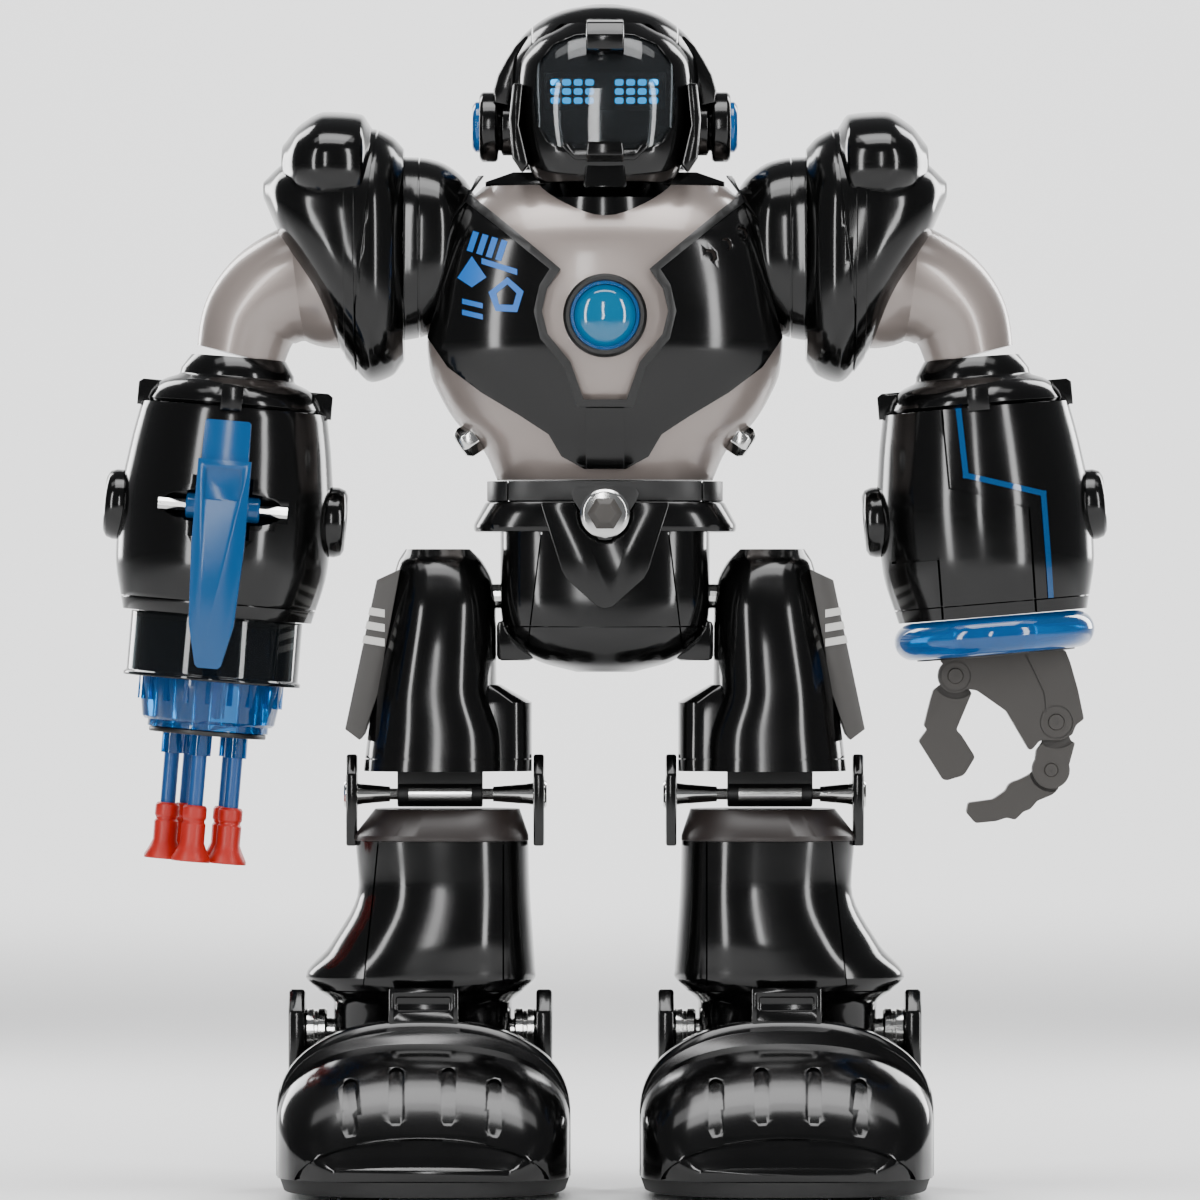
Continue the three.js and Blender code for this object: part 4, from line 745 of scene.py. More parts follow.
def buildPelvis():
    shell = score(loft(pelvis["shell"], around=96), loft(pelvis["shell"], grow=-0.9, around=96),
        slit((0, 0, -9.4), (0, 0, 1)),
                  slit((22, 0, 0), (1, 0, 0.12)), slit((-22, 0, 0), (1, 0, -0.12)))
    cut(shell, rod("x", 4.05, -60, 60, (0, 0)))
    front = keep(copyOf(shell), block(-60, 60, -60, 0, -60, 60))
    put(front, "pelvisFront", "pelvis", blackGloss, ["pelvis_front"], 0.5)
    rearHalf = keep(shell, block(-60, 60, 0, 60, -60, 60))
    put(rearHalf, "pelvisBack", "pelvis", blackGloss, ["pelvis_back"], 0.5)
    skirt = loft(pelvis["skirt"], around=96, smooth=False)
    put(skirt, "pelvisSkirt", "pelvis", blackGloss, bevel=0.7)
    plate = cut(prism(mirrored(pelvis["plate"]), -32.2, -26), rod("y", 7.6, -40, -20, (0, pelvis["badgeHeight"])))
    put(plate, "pelvisPlate", "pelvis", blackGloss, bevel=0.8)
    belt = score(loft(pelvis["belt"], smooth=False, around=96),
        loft(pelvis["belt"], grow=-0.7, smooth=False, around=96),
                 slit((30, 0, 0), (1, 0, 0)), slit((-30, 0, 0), (1, 0, 0)))
    put(belt, "waistBelt", "pelvis", blackSatin, ["waist_belt"], 0.7)
    for sign in (-1, 1):
        bar = block(min(sign * 22, sign * 33.6), max(sign * 22, sign * 33.6), -9, 9, -20, -7.6)
        put(bar, "legBarRight" if sign < 0 else "legBarLeft", "pelvis", blackGloss, bevel=1.6)

    height = pelvis["badgeHeight"]
    badge = add(prism(mirrored(pelvis["badge"]), -36, -34.1), rod("y", 7, -34.6, -27.6, (0, height)))
    put(badge, "waistBadge", "waist_button", blackSatin, ["waist_button"], 0.6)
    dome = turned([(0, -35.4), (7.7, -35.4), (7.7, -36.2), (6.6, -37), (0, -37.4)], "y", 56, (0, height))
    put(dome, "badgeDome", "waist_button", platedSilver, bevel=0.25)
    gem = turned([(0, -36.6), (5.4, -36.6), (5.4, -37.6), (3.2, -38.9), (0, -38.9)], "y", 6, (0, height))
    put(gem, "badgeGem", "waist_button", clawGrey, bevel=0.15)


buildPelvis()
print("pelvis made")

# arms
arm = {
    "armour": [
        (62.5, -25, 25, -29, 37, 2.4), (66, -30, 30, -33.4, 40.6, 2.4), (72.5, -33.5, 33.5, -35.5, 43.2, 2.4),
        (80.5, -34, 34, -27.5, 42.5, 2.3), (90.5, -32, 32, -10, 38, 2.2), (100.5, -25, 25, 9, 32, 2.1),
        (106, -9, 9, 21.4, 26.8, 2),
    ],
    "bean": [
        (72.4, -24, 24, 24, 43.4, 2.4), (75.6, -33, 33, 15.4, 47.6, 2.4), (86.5, -36, 36, 15, 48.4, 2.4),
        (94.5, -33, 33, 18.4, 44.4, 2.3), (100, -20, 20, 25, 38, 2.1),
    ],
    "sleeve": [((83.4, 0, -3), 19.5), ((92, 0, -4), 18.6), ((103, 0, -8.6), 17), ((110.5, 0, -17), 15.2),
    ((113.4, 0, -27.4), 13.8)],
    "ball": (83.4, -3, 22),
}


def buildArms():
    x, z, radius = arm["ball"]
    sleeve = tube(arm["sleeve"])
    put(sleeve, "upperArm", "arm", pearlGrey, ["upper_arm"], 0)
    ball = turned([(radius * math.sin(t), x + radius * math.cos(t)) for t in np.linspace(0.02, math.pi - 0.02, 28)],
        "x", 56, (0, z))
    put(ball, "shoulderBall", "arm", pearlGrey, bevel=0)
    armour = score(loft(arm["armour"], "x", around=96, steps=6),
        loft(arm["armour"], "x", grow=-1, around=96, steps=6),
                   slit((75.6, 0, 0), (1, 0, 0.12), 0.6))
    cut(armour, rod("x", 11, 50, 64.4, (0, 0)))
    put(armour, "shoulderArmour", "arm", blackGloss, ["shoulder_armor"], 0.5)
    rib = patch(arm["armour"], -0.6, 0.7, block(77.4, 80.6, -60, 60, -60, 60), "x",
                around=96, steps=6)
    put(rib, "shoulderRib", "arm", blackGloss, bevel=0.3)
    bean = loft(arm["bean"], "x", around=88, steps=6)
    put(bean, "shoulderBean", "arm", blackGloss, bevel=0.5)


buildArms()

# forearms
forearm = {
    "barrel": [(-81, 29.4), (-64, 33), (-49, 33.4), (-30, 31.4), (-16.3, 28.9)],
    "cap": [(0, -16), (26.6, -16), (27, -15), (26.4, -13), (24.5, -10.2), (21.6, -8.4), (18.4, -7.2), (17.8, -6.6),
            (17.6, -5), (14.8, -0.6), (0, -0.6)],
    "discHeight": -49,
    "lever": [(0, -33), (8.1, -33), (8.1, -59.6), (6.9, -83.6), (4, -96.2), (3, -97.1), (0, -97.1)],
    "leverTop": [(0, -20.8), (6.4, -20.8), (7, -21.4), (7.2, -34), (0, -34)],
    "pin": (-27, -47.6),
}


def barrel(grow=0, around=96):
    keys = [z for z, _ in forearm["barrel"]]
    at = np.linspace(keys[0], keys[-1], 25)
    radii = eased(keys, [r for _, r in forearm["barrel"]], at)
    stops = [(0, keys[0] - max(grow, 0))] + [(r + grow, z) for r, z in zip(radii, at)] + [(0,
        keys[-1] + max(grow, 0))]
    return turned(stops, "z", around)


# The layer of a barrel's skin between two offsets, inside a cutter.
def barrelPatch(low, high, cutter):
    return keep(cut(barrel(high), barrel(low)), cutter)


def buildForearm(side):
    place = f"forearm_{side}"
    cap = turned(forearm["cap"], "z", 96)
    tab = prism([(23, -17.4), (30.2, -17.4), (30.2, -10.4), (28.8, -9.4), (23, -9.4)], -3.2, 3.2)
    tabs = repeated(ringTree, tab, Count=4, Start=0.0, Step=math.pi / 2, Material=blackGloss)
    put(add(cap, tabs), f"forearmCap_{side}", place, blackGloss, [f"forearm_cap_{side}"], 0.45)

    shell = score(barrel(), barrel(-0.8), slit((0, 0, -77), (0, 0, 1), 0.4))
    discHole = [rod("x", 11.5, low, high, (0, forearm["discHeight"])) for low, high in ((30.4, 44), (-44, -30.4))]
    cut(shell, *discHole)
    front = keep(copyOf(shell), block(-60, 60, -60, 0.02, -120, 20))
    rear = keep(shell, block(-60, 60, 0.02, 60, -120, 20))
    if side == "right":
        y, z = forearm["pin"]
        cut(front, block(-8.9, 8.9, -60, -20, z - 9.5, z + 9.5), rod("x", 2.15, -20.2, 20.2, (y, z)))
        around = np.linspace(0.01, 2 * math.pi + 0.01, 40, endpoint=False)
        recess = zip(18.6 * signedPower(np.cos(around), 0.7), z + 5.2 * signedPower(np.sin(around), 0.8))
        cut(front, prism(list(recess), -60, -22.4))
    else:
        line = [(-6.4, -14), (-5.9, -37.1), (17.6, -44.6), (17.4, -76)]
        stripe = add(*[ribbon(a, b, 1.7) for a, b in zip(line, line[1:])])
        put(barrelPatch(-0.4, 0.3, stripe), "forearmStripe", place, ringGlow, bevel=0)
        for points in ([(-11.4, -10), (-11.2, -40.6), (12.6, -48.8), (12.3, -90)], [(-16.4, -62), (-16.4, -90)],
                [(-30, -62), (-16.4, -62)]):
            grooves = [ribbon(a, b, 0.7) for a, b in zip(points, points[1:])]
            for groove in grooves:
                cut(front, barrelPatch(-0.9, 2, groove))
    put(front, f"forearmFront_{side}", place, blackGloss, [f"forearm_front_{side}"], 0.35)
    put(rear, f"forearmBack_{side}", place, blackGloss, [f"forearm_back_{side}"], 0.35)

    disc = turned([(0, 31), (10.9, 31), (10.9, 34.6), (10.2, 36.6), (8.6, 37.5), (5.6, 37.6), (5, 37), (0, 36.8)],
        "x", 56,
                  (0, forearm["discHeight"]))
    for sign, word in ((1, "Outer"), (-1, "Inner")):
        put(moved(copyOf(disc), Matrix.Diagonal((sign, 1, 1, 1))), f"sideDisc{word}_{side}", place, blackGloss,
            bevel=0.3)
    bpy.data.objects.remove(disc)


# A strip between two points of the front view, deep enough to cut any body.
def ribbon(a, b, width):
    start, end = Vector(a), Vector(b)
    along = (end - start).normalized() * width / 2
    side = Vector((-along.y, along.x))
    return prism([tuple(start - along - side), tuple(end + along - side), tuple(end + along + side),
        tuple(start - along + side)], -80, 0)


for side in sides:
    buildForearm(side)
print("arms made")

# dart launcher
launcher = {
    "sleeve": [(22.9, -81.3), (26.7, -81.3), (26.7, -99.6), (27.6, -100.2), (27.6, -101.3), (24.9, -101.3),
    (24.9, -83.4), (22.9, -83.4)],
    "drum": [(0, -84.6), (21.8, -84.6), (22.3, -85.2), (22.3, -103), (20.6, -113.6), (19.8, -114.4), (18.8, -114.6),
    (18.8, -116.5), (0, -116.5)],
    "cup": [(0, -140), (3.2, -140), (3.75, -140.8), (3.75, -144), (3.3, -144.6), (3.3, -145.2), (3.75, -145.8),
    (3.75, -151.6),
            (4.6, -153.6), (6.05, -156.4), (6.05, -157.5), (5.2, -157.5), (2.4, -154.4), (0, -154)],
    "circle": 10.5,
    "count": 5,
}


def buildLauncher():
    lever = forearm["lever"]
    y, z = forearm["pin"]
    body = add(prism(mirrored(lever), -44.4, -37.2), prism(mirrored(forearm["leverTop"]), -42.6, -34.4),
        block(-8.1, 8.1, -43, y + 3.4, z - 3.8, z + 3.8))
    cut(body, moved(block(-20, 20, -8, 0, -50, 0), Matrix.Translation((0, -44.6,
        -60)) @ Matrix.Rotation(math.radians(-6), 4, "X")),
        rod("x", 2.3, -30, 30, (y, z)))
    groove = prism(rounded([(-5.6, -35.6), (5.6, -35.6), (5.6, -45.6), (-5.6, -45.6)], 1.4), -50, -43.7)
    add(cut(body, groove), cut(rod("x", 3.9, -11.4, 11.4, (y, z), 48, 0.5), rod("x", 2.3, -30, 30, (y, z))))
    # the lever's blue carries a painted glow from its material
    put(body, "fireLever", "fire_lever", leverBluePaintedGlow, ["fire_lever"], 1.1)

    sleeve = skinRing(launcher["sleeve"], 0, "z", 96)
    put(sleeve, "barrelSleeve", "forearm_right", smoked, ["barrel_sleeve"], 0.25)
    mount = rod("z", 24.4, -84, -80.6, (0, 0), 72)
    put(mount, "sleeveMount", "forearm_right", blackSatin, bevel=0.3)
    ribs = repeated(ringTree, block(21.6, 22.5, -0.7, 0.7, -108.4, -86), Count=20, Start=0.0, Step=math.pi / 10,
        Material=clearBluePaintedGlow)
    drum = turned(launcher["drum"], "z", 96)
    dartPlaces = [dartPlace(i) for i in range(launcher["count"])]
    bores = [rod("z", 2.55, -130, -92.4, place, 24) for place in dartPlaces]
    tubes = [rod("z", 3.5, -124.5, -115.4, place, 28) for place in dartPlaces]
    cut(add(drum, *tubes), *bores, rod("z", 3.4, -111, -80, (0, 0), 24))
    # the drum and its ribs carry a faint painted glow from their material
    put(drum, "dartDrum", "dart_drum", clearBluePaintedGlow, ["dart_drum"], 0.25)
    put(ribs, "drumRibs", "dart_drum", clearBluePaintedGlow, bevel=0)
    plate = cut(rod("z", 18.2, -118.2, -116.7, (0, 0), 64),
        *[rod("z", 3.7, -130, -92.4, place, 24) for place in dartPlaces])
    put(plate, "drumPlate", "dart_drum", blackSatin, bevel=0.3)
    for i, place in enumerate(dartPlaces):
        cup = turned(launcher["cup"], "z", 40, place)
        put(cup, f"dartCup{i + 1}", f"dart_{i + 1}", dartRed, [f"dart_{i + 1}"], 0.2)
        put(rod("z", 2.35, -140.4, -93.5, place, 28, 0.3), f"dartShaft{i + 1}", f"dart_{i + 1}", dartBlue,
            bevel=0)


def dartPlace(i):
    angle = math.radians(98 + 360 * (i + 0.5) / launcher["count"])
    return (launcher["circle"] * math.cos(angle), launcher["circle"] * math.sin(angle))


buildLauncher()
print("dart launcher made")

# claw
claw = {
    "palm": [(-17.6, -93.4), (21.4, -93.4), (22.6, -97.3), (24.3, -106.1), (25.4, -115.3), (22.8, -116.9),
    (21.3, -119.9),
             (17.8, -121.2), (13.2, -120.8), (11, -120.9), (8.6, -123.3), (7.6, -123.4), (1.6, -110.8),
             (-6.9, -103.7), (-10.5, -102.9)],
    "thumb": [(-16.2, -99.6), (-11, -100.7), (-8.6, -104.2), (-14.4, -115.3), (-13, -117), (-9.6, -123.5),
    (-9.5, -124.5),
              (-12.7, -128.9), (-13.7, -129.7), (-18.5, -130.7), (-19.8, -130.4), (-26.3, -117.8), (-23.3, -114.4),
              (-24.3, -113.3), (-21.6, -105.4), (-20.4, -102.4)],
    "finger": [(14.6, -115.3), (19.4, -116.3), (20.9, -121.7), (22, -122.4), (19.6, -129.1), (16.2, -132.2),
    (11.3, -131.8),
               (9.2, -127.3), (9.8, -123.9), (11.5, -121.9)],
    "fingertip": [(12.8, -128.8), (15.6, -132.2), (15.9, -136.2), (13.6, -137.9), (8.8, -139.4), (6.4, -141.8),
    (4.2, -142.4),
                  (1.5, -144.7), (-1.2, -143.8), (-4.4, -144.6), (-10.9, -144.7), (-13.4, -141.2), (-12.6, -138.2),
                  (-4.8, -137.8), (-0.8, -135.5), (0.3, -133.7), (1.6, -132.9), (3.8, -132.4), (7, -131.1),
                  (10.4, -128)],
    "thumbPivot": (-13.3, -98.6),
    "fingerPivot": (16.7, -115.5),
    "tipPivot": (13.9, -130.2),
    "reach": (7.2, 8.2, 6.8),
    "half": 4.5,
}


def clawLink(outline, root, reach, tip=None):
    half = claw["half"]
    soft = rounded(outline, 0.7, 3)
    link = cut(prism(soft, -half, half), rod("y", reach, -half - 1, half + 1, root))
    add(link, rod("y", 4.6, -2, 2, root), keep(prism(soft, -2, 2), rod("y", reach + 2, -2, 2, root)))
    if tip:
        room = claw["reach"][2] - 0.4
        cut(add(link, rod("y", room - 0.6, -half, half, tip)), rod("y", room, -2.3, 2.3, tip))
    return cut(link, rod("y", 1.8, -half - 1, half + 1, root))


# A ring-shaped groove cutter on a flat face of the claw.
def faceRing(at, radius, width, low, high):
    ring = skinRing([(radius, low), (radius + width, low), (radius + width, high), (radius, high)], 0, "y", 40)
    return moved(ring, Matrix.Translation((at[0], 0, at[1])))


def buildClaw():
    half = claw["half"]
    edge = 5.75
    ring = [(10, -81.3)] + [(25.45 + edge * math.cos(t),
        -87.05 + edge * math.sin(t)) for t in np.linspace(math.pi / 2, -math.pi / 2, 15)]
    put(skinRing(ring + [(10, -92.8)], 0, "z", 96), "glowRing", "forearm_left", ringGlow,
        ["glow_ring"], 0)
    put(rod("z", 24.6, -93.3, -92.5, (0, 0), 72), "ringSeat", "forearm_left", blackSatin, bevel=0.2)

    thumb, finger, tip = claw["thumbPivot"], claw["fingerPivot"], claw["tipPivot"]
    reach = claw["reach"]
    palm = add(prism(rounded(claw["palm"], 0.7, 3), -half, half), rod("y", 5.3, -half, half, thumb),
        rod("y", 5.3, -half, half, finger))
    cut(palm, rod("y", reach[0] + 0.6, -2.3, 2.3, thumb), rod("y", reach[1] + 0.6, -2.3, 2.3, finger))
    seam = [(7.6, -90), (10.6, -98), (13.6, -106), (13.8, -112)]
    for a, b in zip(seam, seam[1:]):
        cut(palm, keep(ribbon(a, b, 0.5), block(-60, 60, -5, -half + 0.5, -140, 0)))
    for at, size in ((thumb, 4.4), (finger, 4.8)):
        for y in (-half, half):
            cut(palm, faceRing(at, size, 0.45, y - 0.4, y + 0.4))
    put(palm, "clawPalm", "forearm_left", clawGrey, ["claw_palm"], 1.3)
    for word, at, body, size in (("Thumb", thumb, "forearm_left", 1.4), ("Finger", finger, "forearm_left", 1.5),
            ("Tip", tip, "claw_finger", 1.1)):
        pin = turned([(0, -half - 0.4), (size * 0.5, -half - 0.4), (size * 0.5, -half - 0.7),
            (size + 0.8, -half - 0.7), (size + 1.1, -half - 0.1),
                      (size, -half - 0.1), (size, half + 0.1), (size + 1.1, half + 0.1), (size + 0.8, half + 0.7),
                      (0, half + 0.7)], "y", 36, at)
        put(pin, f"clawPin{word}", body, clawGrey, bevel=0)
    put(clawLink(claw["thumb"], thumb, reach[0]), "clawThumb", "claw_thumb", clawGrey, ["claw_thumb"],
        1)
    put(clawLink(claw["finger"], finger, reach[1], tip), "clawFinger", "claw_finger", clawGrey,
        ["claw_finger"], 1)
    put(clawLink(claw["fingertip"], tip, reach[2]), "clawFingertip", "claw_fingertip", clawGrey,
        ["claw_fingertip"], 1)


buildClaw()
print("claw made")

# legs
leg = {
    "thigh": [
        (-54.2, 28.2, 75, -27, 27, 2.6), (-44, 28.8, 73.8, -26.4, 26.4, 2.6), (-28, 33.7, 71.5, -25, 25, 2.6),
        (-4, 33.9, 67.3, -19.5, 19.5, 2.5),
        (4, 34.9, 66, -16, 16, 2.4), (10.5, 37.9, 64.5, -12, 12, 2.3), (14.6, 41.9, 62, -6.5, 6.5, 2.2),
    ],
    "lobe": [(-54.2, 22.7, 45.9, -19, 19, 4), (-33, 22.7, 45.9, -17.5, 17.5, 4), (-27.5, 32.5, 45.9, -15, 15, 4)],
    "sidePlate": [(63.4, 8.4), (70.7, 5), (80.5, -41.2), (76, -44.6), (74.6, -42.8), (69.4, -27.6), (68.2, -17.5)],
    "shin": [
        (-81.5, 34, 80, -14, 14, 2.4), (-73.5, 29.2, 84.2, -21, 21, 2.6), (-64.8, 29, 84.4, -23.5, 24, 2.6),
        (-60.4, 24.8, 89.6, -26.5, 27.6, 2.6), (-56.5, 21.6, 93, -27.6, 29.5, 2.6),
        (-47, 22.2, 85.5, -27.6, 30, 2.6),
        (-28.5, 23.4, 76.6, -26, 27.5, 2.6), (-14.4, 23.8, 77.6, -26.1, 26.5, 2.6),
    ],
    "band": [(-14.2, 23.7, 78, -26.4, 26.8, 2.8), (-12.6, 23.8, 77.8, -26.2, 26.6, 2.8),
    (-4.6, 26.5, 71.5, -20.5, 20.5, 2.6)],
    "kneePlate": [(-8.5, -16), (-8.5, 6), (-4, 12.4), (6, 12.4), (8.5, 9), (8.5, -16)],
    "kneePlatesAt": [(18.9, 22.2), (77, 80.3)],
}


def buildLegs():
    thigh = loft(leg["thigh"], around=88, steps=7)
    add(thigh, loft(leg["lobe"], smooth=False, around=72))
    core = add(loft(leg["thigh"], grow=-0.8, around=88, steps=7),
        loft(leg["lobe"], grow=-0.8, smooth=False, around=72))
    score(thigh, core, slit((0, 0, -50.4), (0, 0, 1), 0.4), slit((0, 0, 0), (0, 1, 0), 0.4))
    cut(thigh, rod("x", 4.6, 0, 56.6, (0, 0)))
    put(thigh, "thighShell", "thigh", blackGloss, ["thigh"], 0.55)
    knuckle = add(block(38, 64.5, -2.4, 2.4, -61.5, -53.4), rod("x", 4, 38, 64.5, (0, -61.5), 40, 0.4))
    cut(knuckle, rod("x", 2.3, 0, 100, (0, -61.5)))
    put(knuckle, "kneeKnuckle", "thigh", blackSatin, bevel=0.3)
    roller = keep(turned([(4, 41.5), (4.35, 41.5), (4.35, 61), (4, 61)], "x", 48, (0, -61.5)),
        block(30, 70, -6, 0, -63.5, -59.5))
    put(roller, "kneeRoller", "thigh", platedSilver, bevel=0)
    plate = cut(prism(leg["sidePlate"], -13, 13), loft(leg["thigh"], grow=-1.2))
    put(plate, "thighPlate", "thigh", plateGrey, bevel=0.9)
    stripe = prism([(0, 0), (9.6, 1.6), (9.6, 4), (0, 2.4)], -13.5, 13.5)
    stripes = repeated(gridTree, stripe, Columns=1, Rows=3, Pitch=(0, 0, 4.5), Turn=(0, 0, 0), Material=printedGrey)
    layer = cut(prism([(a + (0.35 if a > 65 else 0), b) for a, b in leg["sidePlate"]], -13.3, 13.3),
        prism(leg["sidePlate"], -13.05, 13.05))
    keep(layer, moved(stripes, Matrix.Translation((68.2, 0, -15.6))))
    put(layer, "plateStripes", "thigh", printedGrey, bevel=0)

    shin = cut(loft(leg["shin"], around=96, steps=6), rod("x", 4.6, -10, 120, (0, -73.5)))
    seams = [keep(slit((x, 0, 0), (1, 0, lean), 0.5), block(0, 120, -60, -8, -59, 0)) for x, lean in ((31.4, 0),
        (68.6, 0.1))]
    score(shin, loft(leg["shin"], grow=-0.7, around=96, steps=6), *seams, slit((0, 0, 0), (0, 1, 0), 0.4),
        slit((0, 0, -60.6), (0, 0, 1), 0.4))
    put(shin, "shinShell", "shin", blackGloss, ["shin"], 0.55)
    band = cut(loft(leg["band"], around=88, smooth=False), rod("x", 4.9, 36.8, 65.8, (0, 0)),
        block(37, 65.6, -4.9, 4.9, -3, 20))
    put(band, "kneeBand", "shin", bandBrown, bevel=0.7)
    for word, (low, high) in zip(("Inner", "Outer"), leg["kneePlatesAt"]):
        cheek = cut(prism(leg["kneePlate"], low, high, "x"), rod("x", 1.9, 0, 100, (0, 0)))
        put(cheek, f"kneePlate{word}", "shin", blackGloss, bevel=0.7)
        boss = turned([(1.9, low), (4.4, low), (4.4, high + 0.2), (3.8, high + 0.8),
            (1.9, high + 0.8)] if word == "Outer"
                      else [(1.9, low - 0.8), (3.8, low - 0.8), (4.4, low - 0.2), (4.4, high), (1.9,
                          high)], "x", 40)
        put(boss, f"kneeBoss{word}", "shin", platedSilver, bevel=0)
        wide, thin = (high + 0.1, high + 12.6) if word == "Inner" else (low - 0.1, low - 10.2)
        flare = turned([(1.9, wide), (3.5, wide), (3.1, wide * 0.8 + thin * 0.2), (2.3, thin), (1.9, thin)], "x",
            40)
        put(flare, f"kneeSleeve{word}", "shin", platedSilver, bevel=0)


buildLegs()
print("legs made")

# feet
foot = {
    "middle": 55.8,
    "ground": -51,
    "bottom": 8.0,
    "toe": [(-71, 28, 11, 13.6), (-69, 32, 12.2, 17.6), (-60, 41, 17.6, 32.4), (-48, 44.4, 22.6, 43.4),
    (-38, 45, 25, 49.4)],
    "band": [(-39.4, 44.9, 25.2, 52.6), (-37.2, 45.25, 26, 55.6), (-31.6, 45.25, 26, 56)],
    "heel": [(-31.4, 44.4, 25.6, 36.4), (0, 43.9, 25, 35.6), (28, 43, 24, 34.2), (45, 38, 20, 29.6),
    (56, 31, 15, 21.6), (59, 26, 12, 14.8)],
    "plate": [(-11, -26), (-11, 6), (-5, 13), (5, 13), (11, 6), (11, -26)],
    "platesAt": [(16.4, 21.4), (93.1, 98.1)],
    "wheel": (75.2, 9, 6.4),
}


def arched(stations, grow=0, steps=5, bottom=None):
    keys = [s[0] for s in stations]
    at = np.unique(np.concatenate([np.linspace(a, b, steps + 1) for a, b in zip(keys, keys[1:])]))
    half, side, top = (eased(keys, [s[c] for s in stations], at) for c in (1, 2, 3))
    low = foot["bottom"] if bottom is None else bottom
    rings = []
    for y, h, s, t in zip(at, half, side, top):
        turn = np.linspace(0, math.pi, 49)
        ring = [(foot["middle"] + (h + grow) * math.copysign(abs(math.cos(a)) ** 0.85, math.cos(a)), y,
                 s + foot["ground"] + (t + grow - s) * abs(math.sin(a)) ** 0.85) for a in turn]
        rings.append(ring + [(foot["middle"] - h - grow, y, low + foot["ground"]),
            (foot["middle"] + h + grow, y, low + foot["ground"])])
    return skin("arched", rings)


def buildFeet():
    middle, ground = foot["middle"], foot["ground"]
    toe = arched(foot["toe"], steps=7)
    slotHalf, slotRadius = 6.2, 2.3
    around = np.linspace(0.01, 2 * math.pi + 0.01, 24, endpoint=False)
    capsule = prism([(slotRadius * math.cos(a), math.copysign(slotHalf,
        math.sin(a)) + slotRadius * math.sin(a)) for a in around], -90, -30)
    inner = repeated(gridTree, copyOf(capsule), Columns=2, Rows=1, Pitch=(16, 0, 1), Turn=(0, 0, 0),
        Material=blackGloss)
    outer = repeated(gridTree, capsule, Columns=2, Rows=1, Pitch=(44, 0, 1), Turn=(0, 0, 0), Material=blackGloss)
    marks = add(moved(inner, Matrix.Translation((middle - 8, 0, 33.4 + ground))),
        moved(outer, Matrix.Translation((middle - 22, 0, 30 + ground))))
    mouth = prism([(middle + 39 * math.cos(a), 7 + ground + 14 * math.sin(a)) for a in np.linspace(0, math.pi, 25)],
        -90, -40)
    for stamp, depth in ((marks, 1.2), (mouth, 1.5)):
        cut(toe, keep(cut(arched(foot["toe"], 1.5, 7), arched(foot["toe"], -depth, 7)), stamp))
    put(toe, "toeCap", "foot", blackGloss, ["foot_cover"], 0.5)
    put(arched(foot["band"], steps=3), "instepBand", "foot", blackGloss, bevel=0.7)
    heel = score(arched(foot["heel"], steps=6), arched(foot["heel"], -0.8, 6),
        keep(slit((middle, 0, 0), (1, 0, 0), 0.5), block(0, 120, 20, 80, -60, 60)),
                 slit((0, 28, 0), (0, 1, 0), 0.5))
    put(heel, "heelCover", "foot", blackGloss, bevel=0.6)
    for word, (low, high), tilt in zip(("Inner", "Outer"), foot["platesAt"], (1, -1)):
        cheek = prism(foot["plate"], low, high, "x")
        put(cheek, f"anklePlate{word}", "foot", blackGloss, bevel=1.0)
        start, end = (high, high + 6.8) if word == "Inner" else (low - 6.8, low)
        drum = turned([(0, start), (6.3, start), (7, start + 0.7), (7, start + 2.6), (6.4, start + 3),
            (6.4, start + 3.8), (7, start + 4.2),
                       (7, end - 0.6), (6.4, end), (0, end)], "x", 48)
        put(drum, f"ankleDrum{word}", "foot", platedSilver, bevel=0)
        pin = rod("x", 4, *((high, high + 12) if word == "Inner" else (low - 12, low)), (0, 0))
        put(pin, f"anklePin{word}", "foot", platedSilver, bevel=0)
    bracket = block(middle - 10.8, middle + 10.8, -38, -32.8, 1, 14.5)
    cut(bracket, block(middle - 8.4, middle + 8.4, -42, -36.6, 7.6, 11.8))
    put(bracket, "instepBracket", "foot", blackGloss, bevel=0.8)

    half = 45.25
    sole = loft([(-48, middle - half + 1.6, middle + half - 1.6, -69.4, 57.4, 3),
        (-43.3, middle - half, middle + half, -71, 59, 3)],
                smooth=False, around=96)
    x, radius, wide = foot["wheel"]
    for y in (-45, 38):
        cut(sole, block(x - wide - 0.5, x + wide + 0.5, y - 10.5, y + 10.5, -60, -30))
        cheeks = [block(x + s * (wide + 1.6) - 1, x + s * (wide + 1.6) + 1, y - 5, y + 5, -50.2, -38) for s in (-1,
            1)]
        add(sole, *cheeks)
        cut(sole, rod("x", 1.9, x - 12, x + 12, (y, radius - 51)))
    put(sole, "footSole", "foot", rubber, ["sole"], 0.6)
    for name in ("front_wheel", "rear_wheel"):
        tyre = turned([(0, x - wide), (4.6, x - wide), (5.2, x - wide + 0.6), (8.2, x - wide + 0.6),
            (9, x - wide + 1.4), (9, x + wide - 1.4),
                       (8.2, x + wide - 0.6), (5.2, x + wide - 0.6), (4.6, x + wide), (0, x + wide)], "x", 56)
        title = "frontWheel" if name == "front_wheel" else "rearWheel"
        put(add(tyre, rod("x", 1.5, x - wide - 2.4, x + wide + 2.4, (0, 0), 24)), title, name, rubber,
            [name], 0.2)


buildFeet()
print("feet made")

# metal and inner parts kept as they are
finishes = {"hip_axle": platedSilver, "lever_pin": platedSilver, "knee_pin_right": platedSilver,
    "knee_pin_left": platedSilver,
            "circuit_board": maskGreen, "battery_box": blackSatin}
for name, material in finishes.items():
    for materialSlot in frame["nodes"][name].material_slots:
        materialSlot.link = "OBJECT"
        materialSlot.material = material

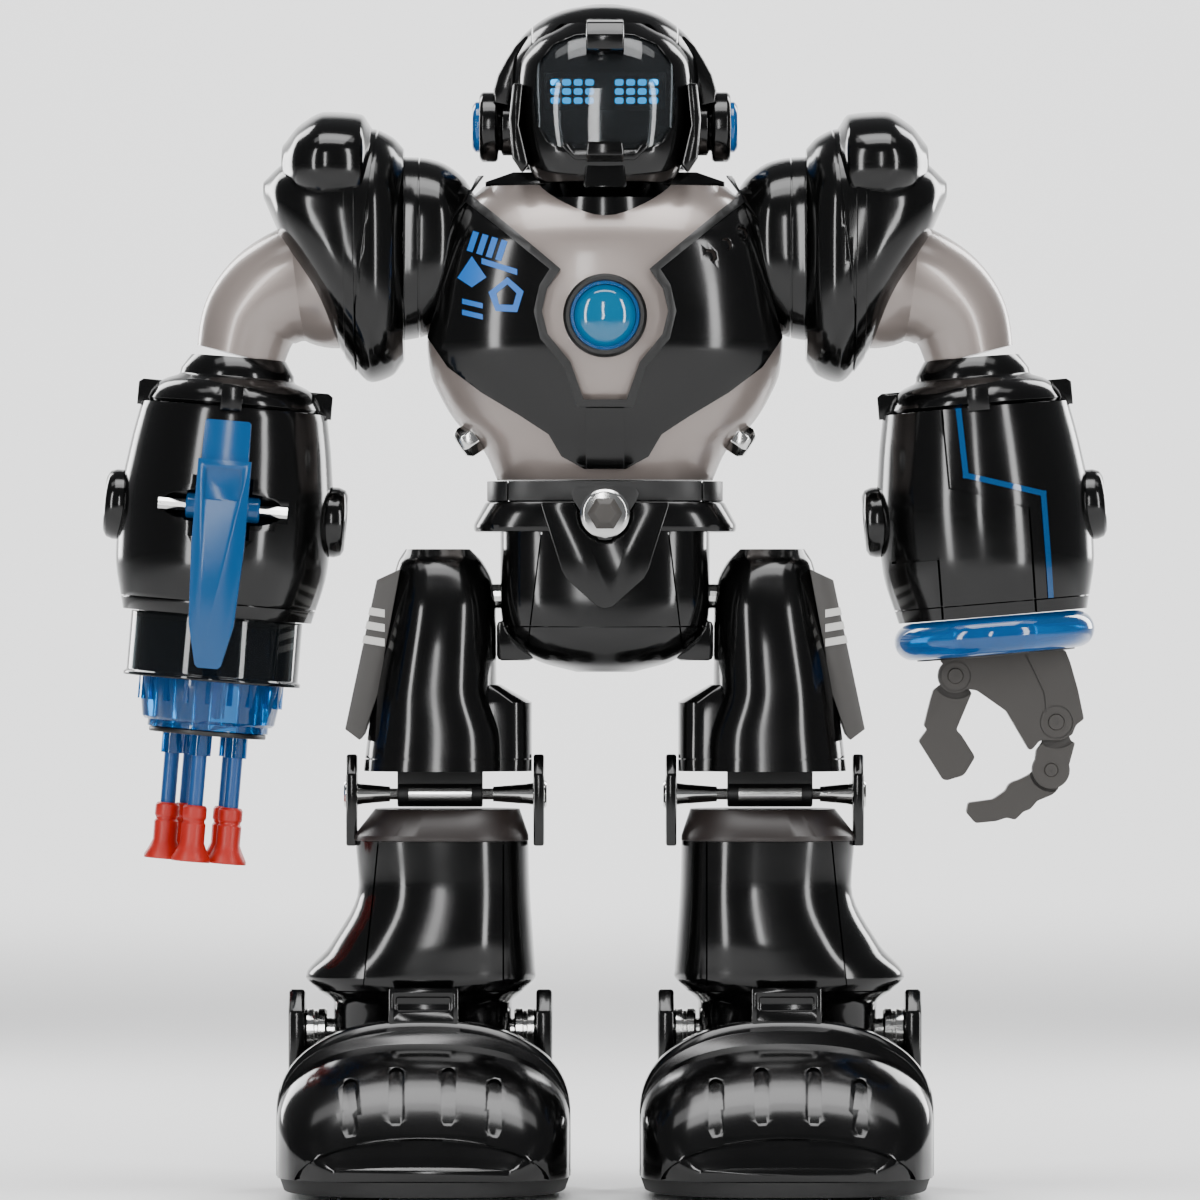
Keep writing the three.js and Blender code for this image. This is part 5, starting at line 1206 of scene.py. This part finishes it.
# set
def lightAt(name, where, aim, size, watts, tint="#ffffff"):
    data = bpy.data.lights.new(name, "AREA")
    data.shape, data.size, data.size_y, data.energy = "RECTANGLE", size[0], size[1], watts
    data.color = colour(tint)[:3]
    light = bpy.data.objects.new(name, data)
    light.location = where
    light.rotation_euler = (Vector(aim) - Vector(where)).to_track_quat("-Z", "Y").to_euler()
    scene.collection.objects.link(light)


def buildSet():
    turn = np.linspace(0, math.pi / 2, 13)
    back, radius = 4.6, 1.4
    profile = [(-6, 0), (back - radius, 0)] + [(back - radius + radius * math.sin(t),
        radius - radius * math.cos(t)) for t in turn[1:]] + [(back, 4)]
    count = len(profile)
    points = [(x, y, z) for x in (-8, 8) for y, z in profile]
    faces = [(i, i + 1, count + i + 1, count + i) for i in range(count - 1)]
    mesh = bpy.data.meshes.new("studioSweep")
    mesh.from_pydata(points, [], faces)
    mesh.materials.append(paper)
    mesh.polygons.foreach_set("use_smooth", [True] * len(faces))
    sweep = bpy.data.objects.new("studioSweep", mesh)
    scene.collection.objects.link(sweep)

    world = bpy.data.worlds.new("soft grey surround")
    world.use_nodes = True
    world.node_tree.nodes["Background"].inputs["Color"].default_value = colour("#dcdee2")
    world.node_tree.nodes["Background"].inputs["Strength"].default_value = 0.22
    scene.world = world
    middle = (0, 0, 0.19)
    lightAt("leftStrip", (-0.8, -1.0, 0.45), middle, (0.14, 1.2), 9)
    lightAt("rightStrip", (0.8, -1.0, 0.45), middle, (0.14, 1.2), 9)
    lightAt("topSoft", (0, -0.3, 1.2), middle, (0.8, 0.6), 11)
    lightAt("frontPanel", (-0.1, -1.7, 0.55), middle, (0.1, 0.9), 5)
    lightAt("rimLeft", (-0.62, 0.7, 0.6), (0, 0, 0.2), (0.25, 0.9), 9)
    lightAt("rimRight", (0.62, 0.7, 0.6), (0, 0, 0.2), (0.25, 0.9), 9)
    lightAt("sweepWash", (0, 2.7, 2.4), (0, 4.3, 0.3), (3, 1.4), 150)
    lightAt("floorWash", (0, -0.4, 1.9), (0, 0.5, 0), (2.2, 0.5), 9)

    lens, wide = 300, 0.372
    camera = bpy.data.cameras.new("frontCamera")
    camera.lens, camera.sensor_width = lens, 36
    view = bpy.data.objects.new("frontCamera", camera)
    view.location = (-0.00155, -0.003 - lens / 36 * wide, 0.1848)
    view.rotation_euler = (math.pi / 2, 0, 0)
    scene.collection.objects.link(view)
    scene.camera = view


buildSet()
print("set made")
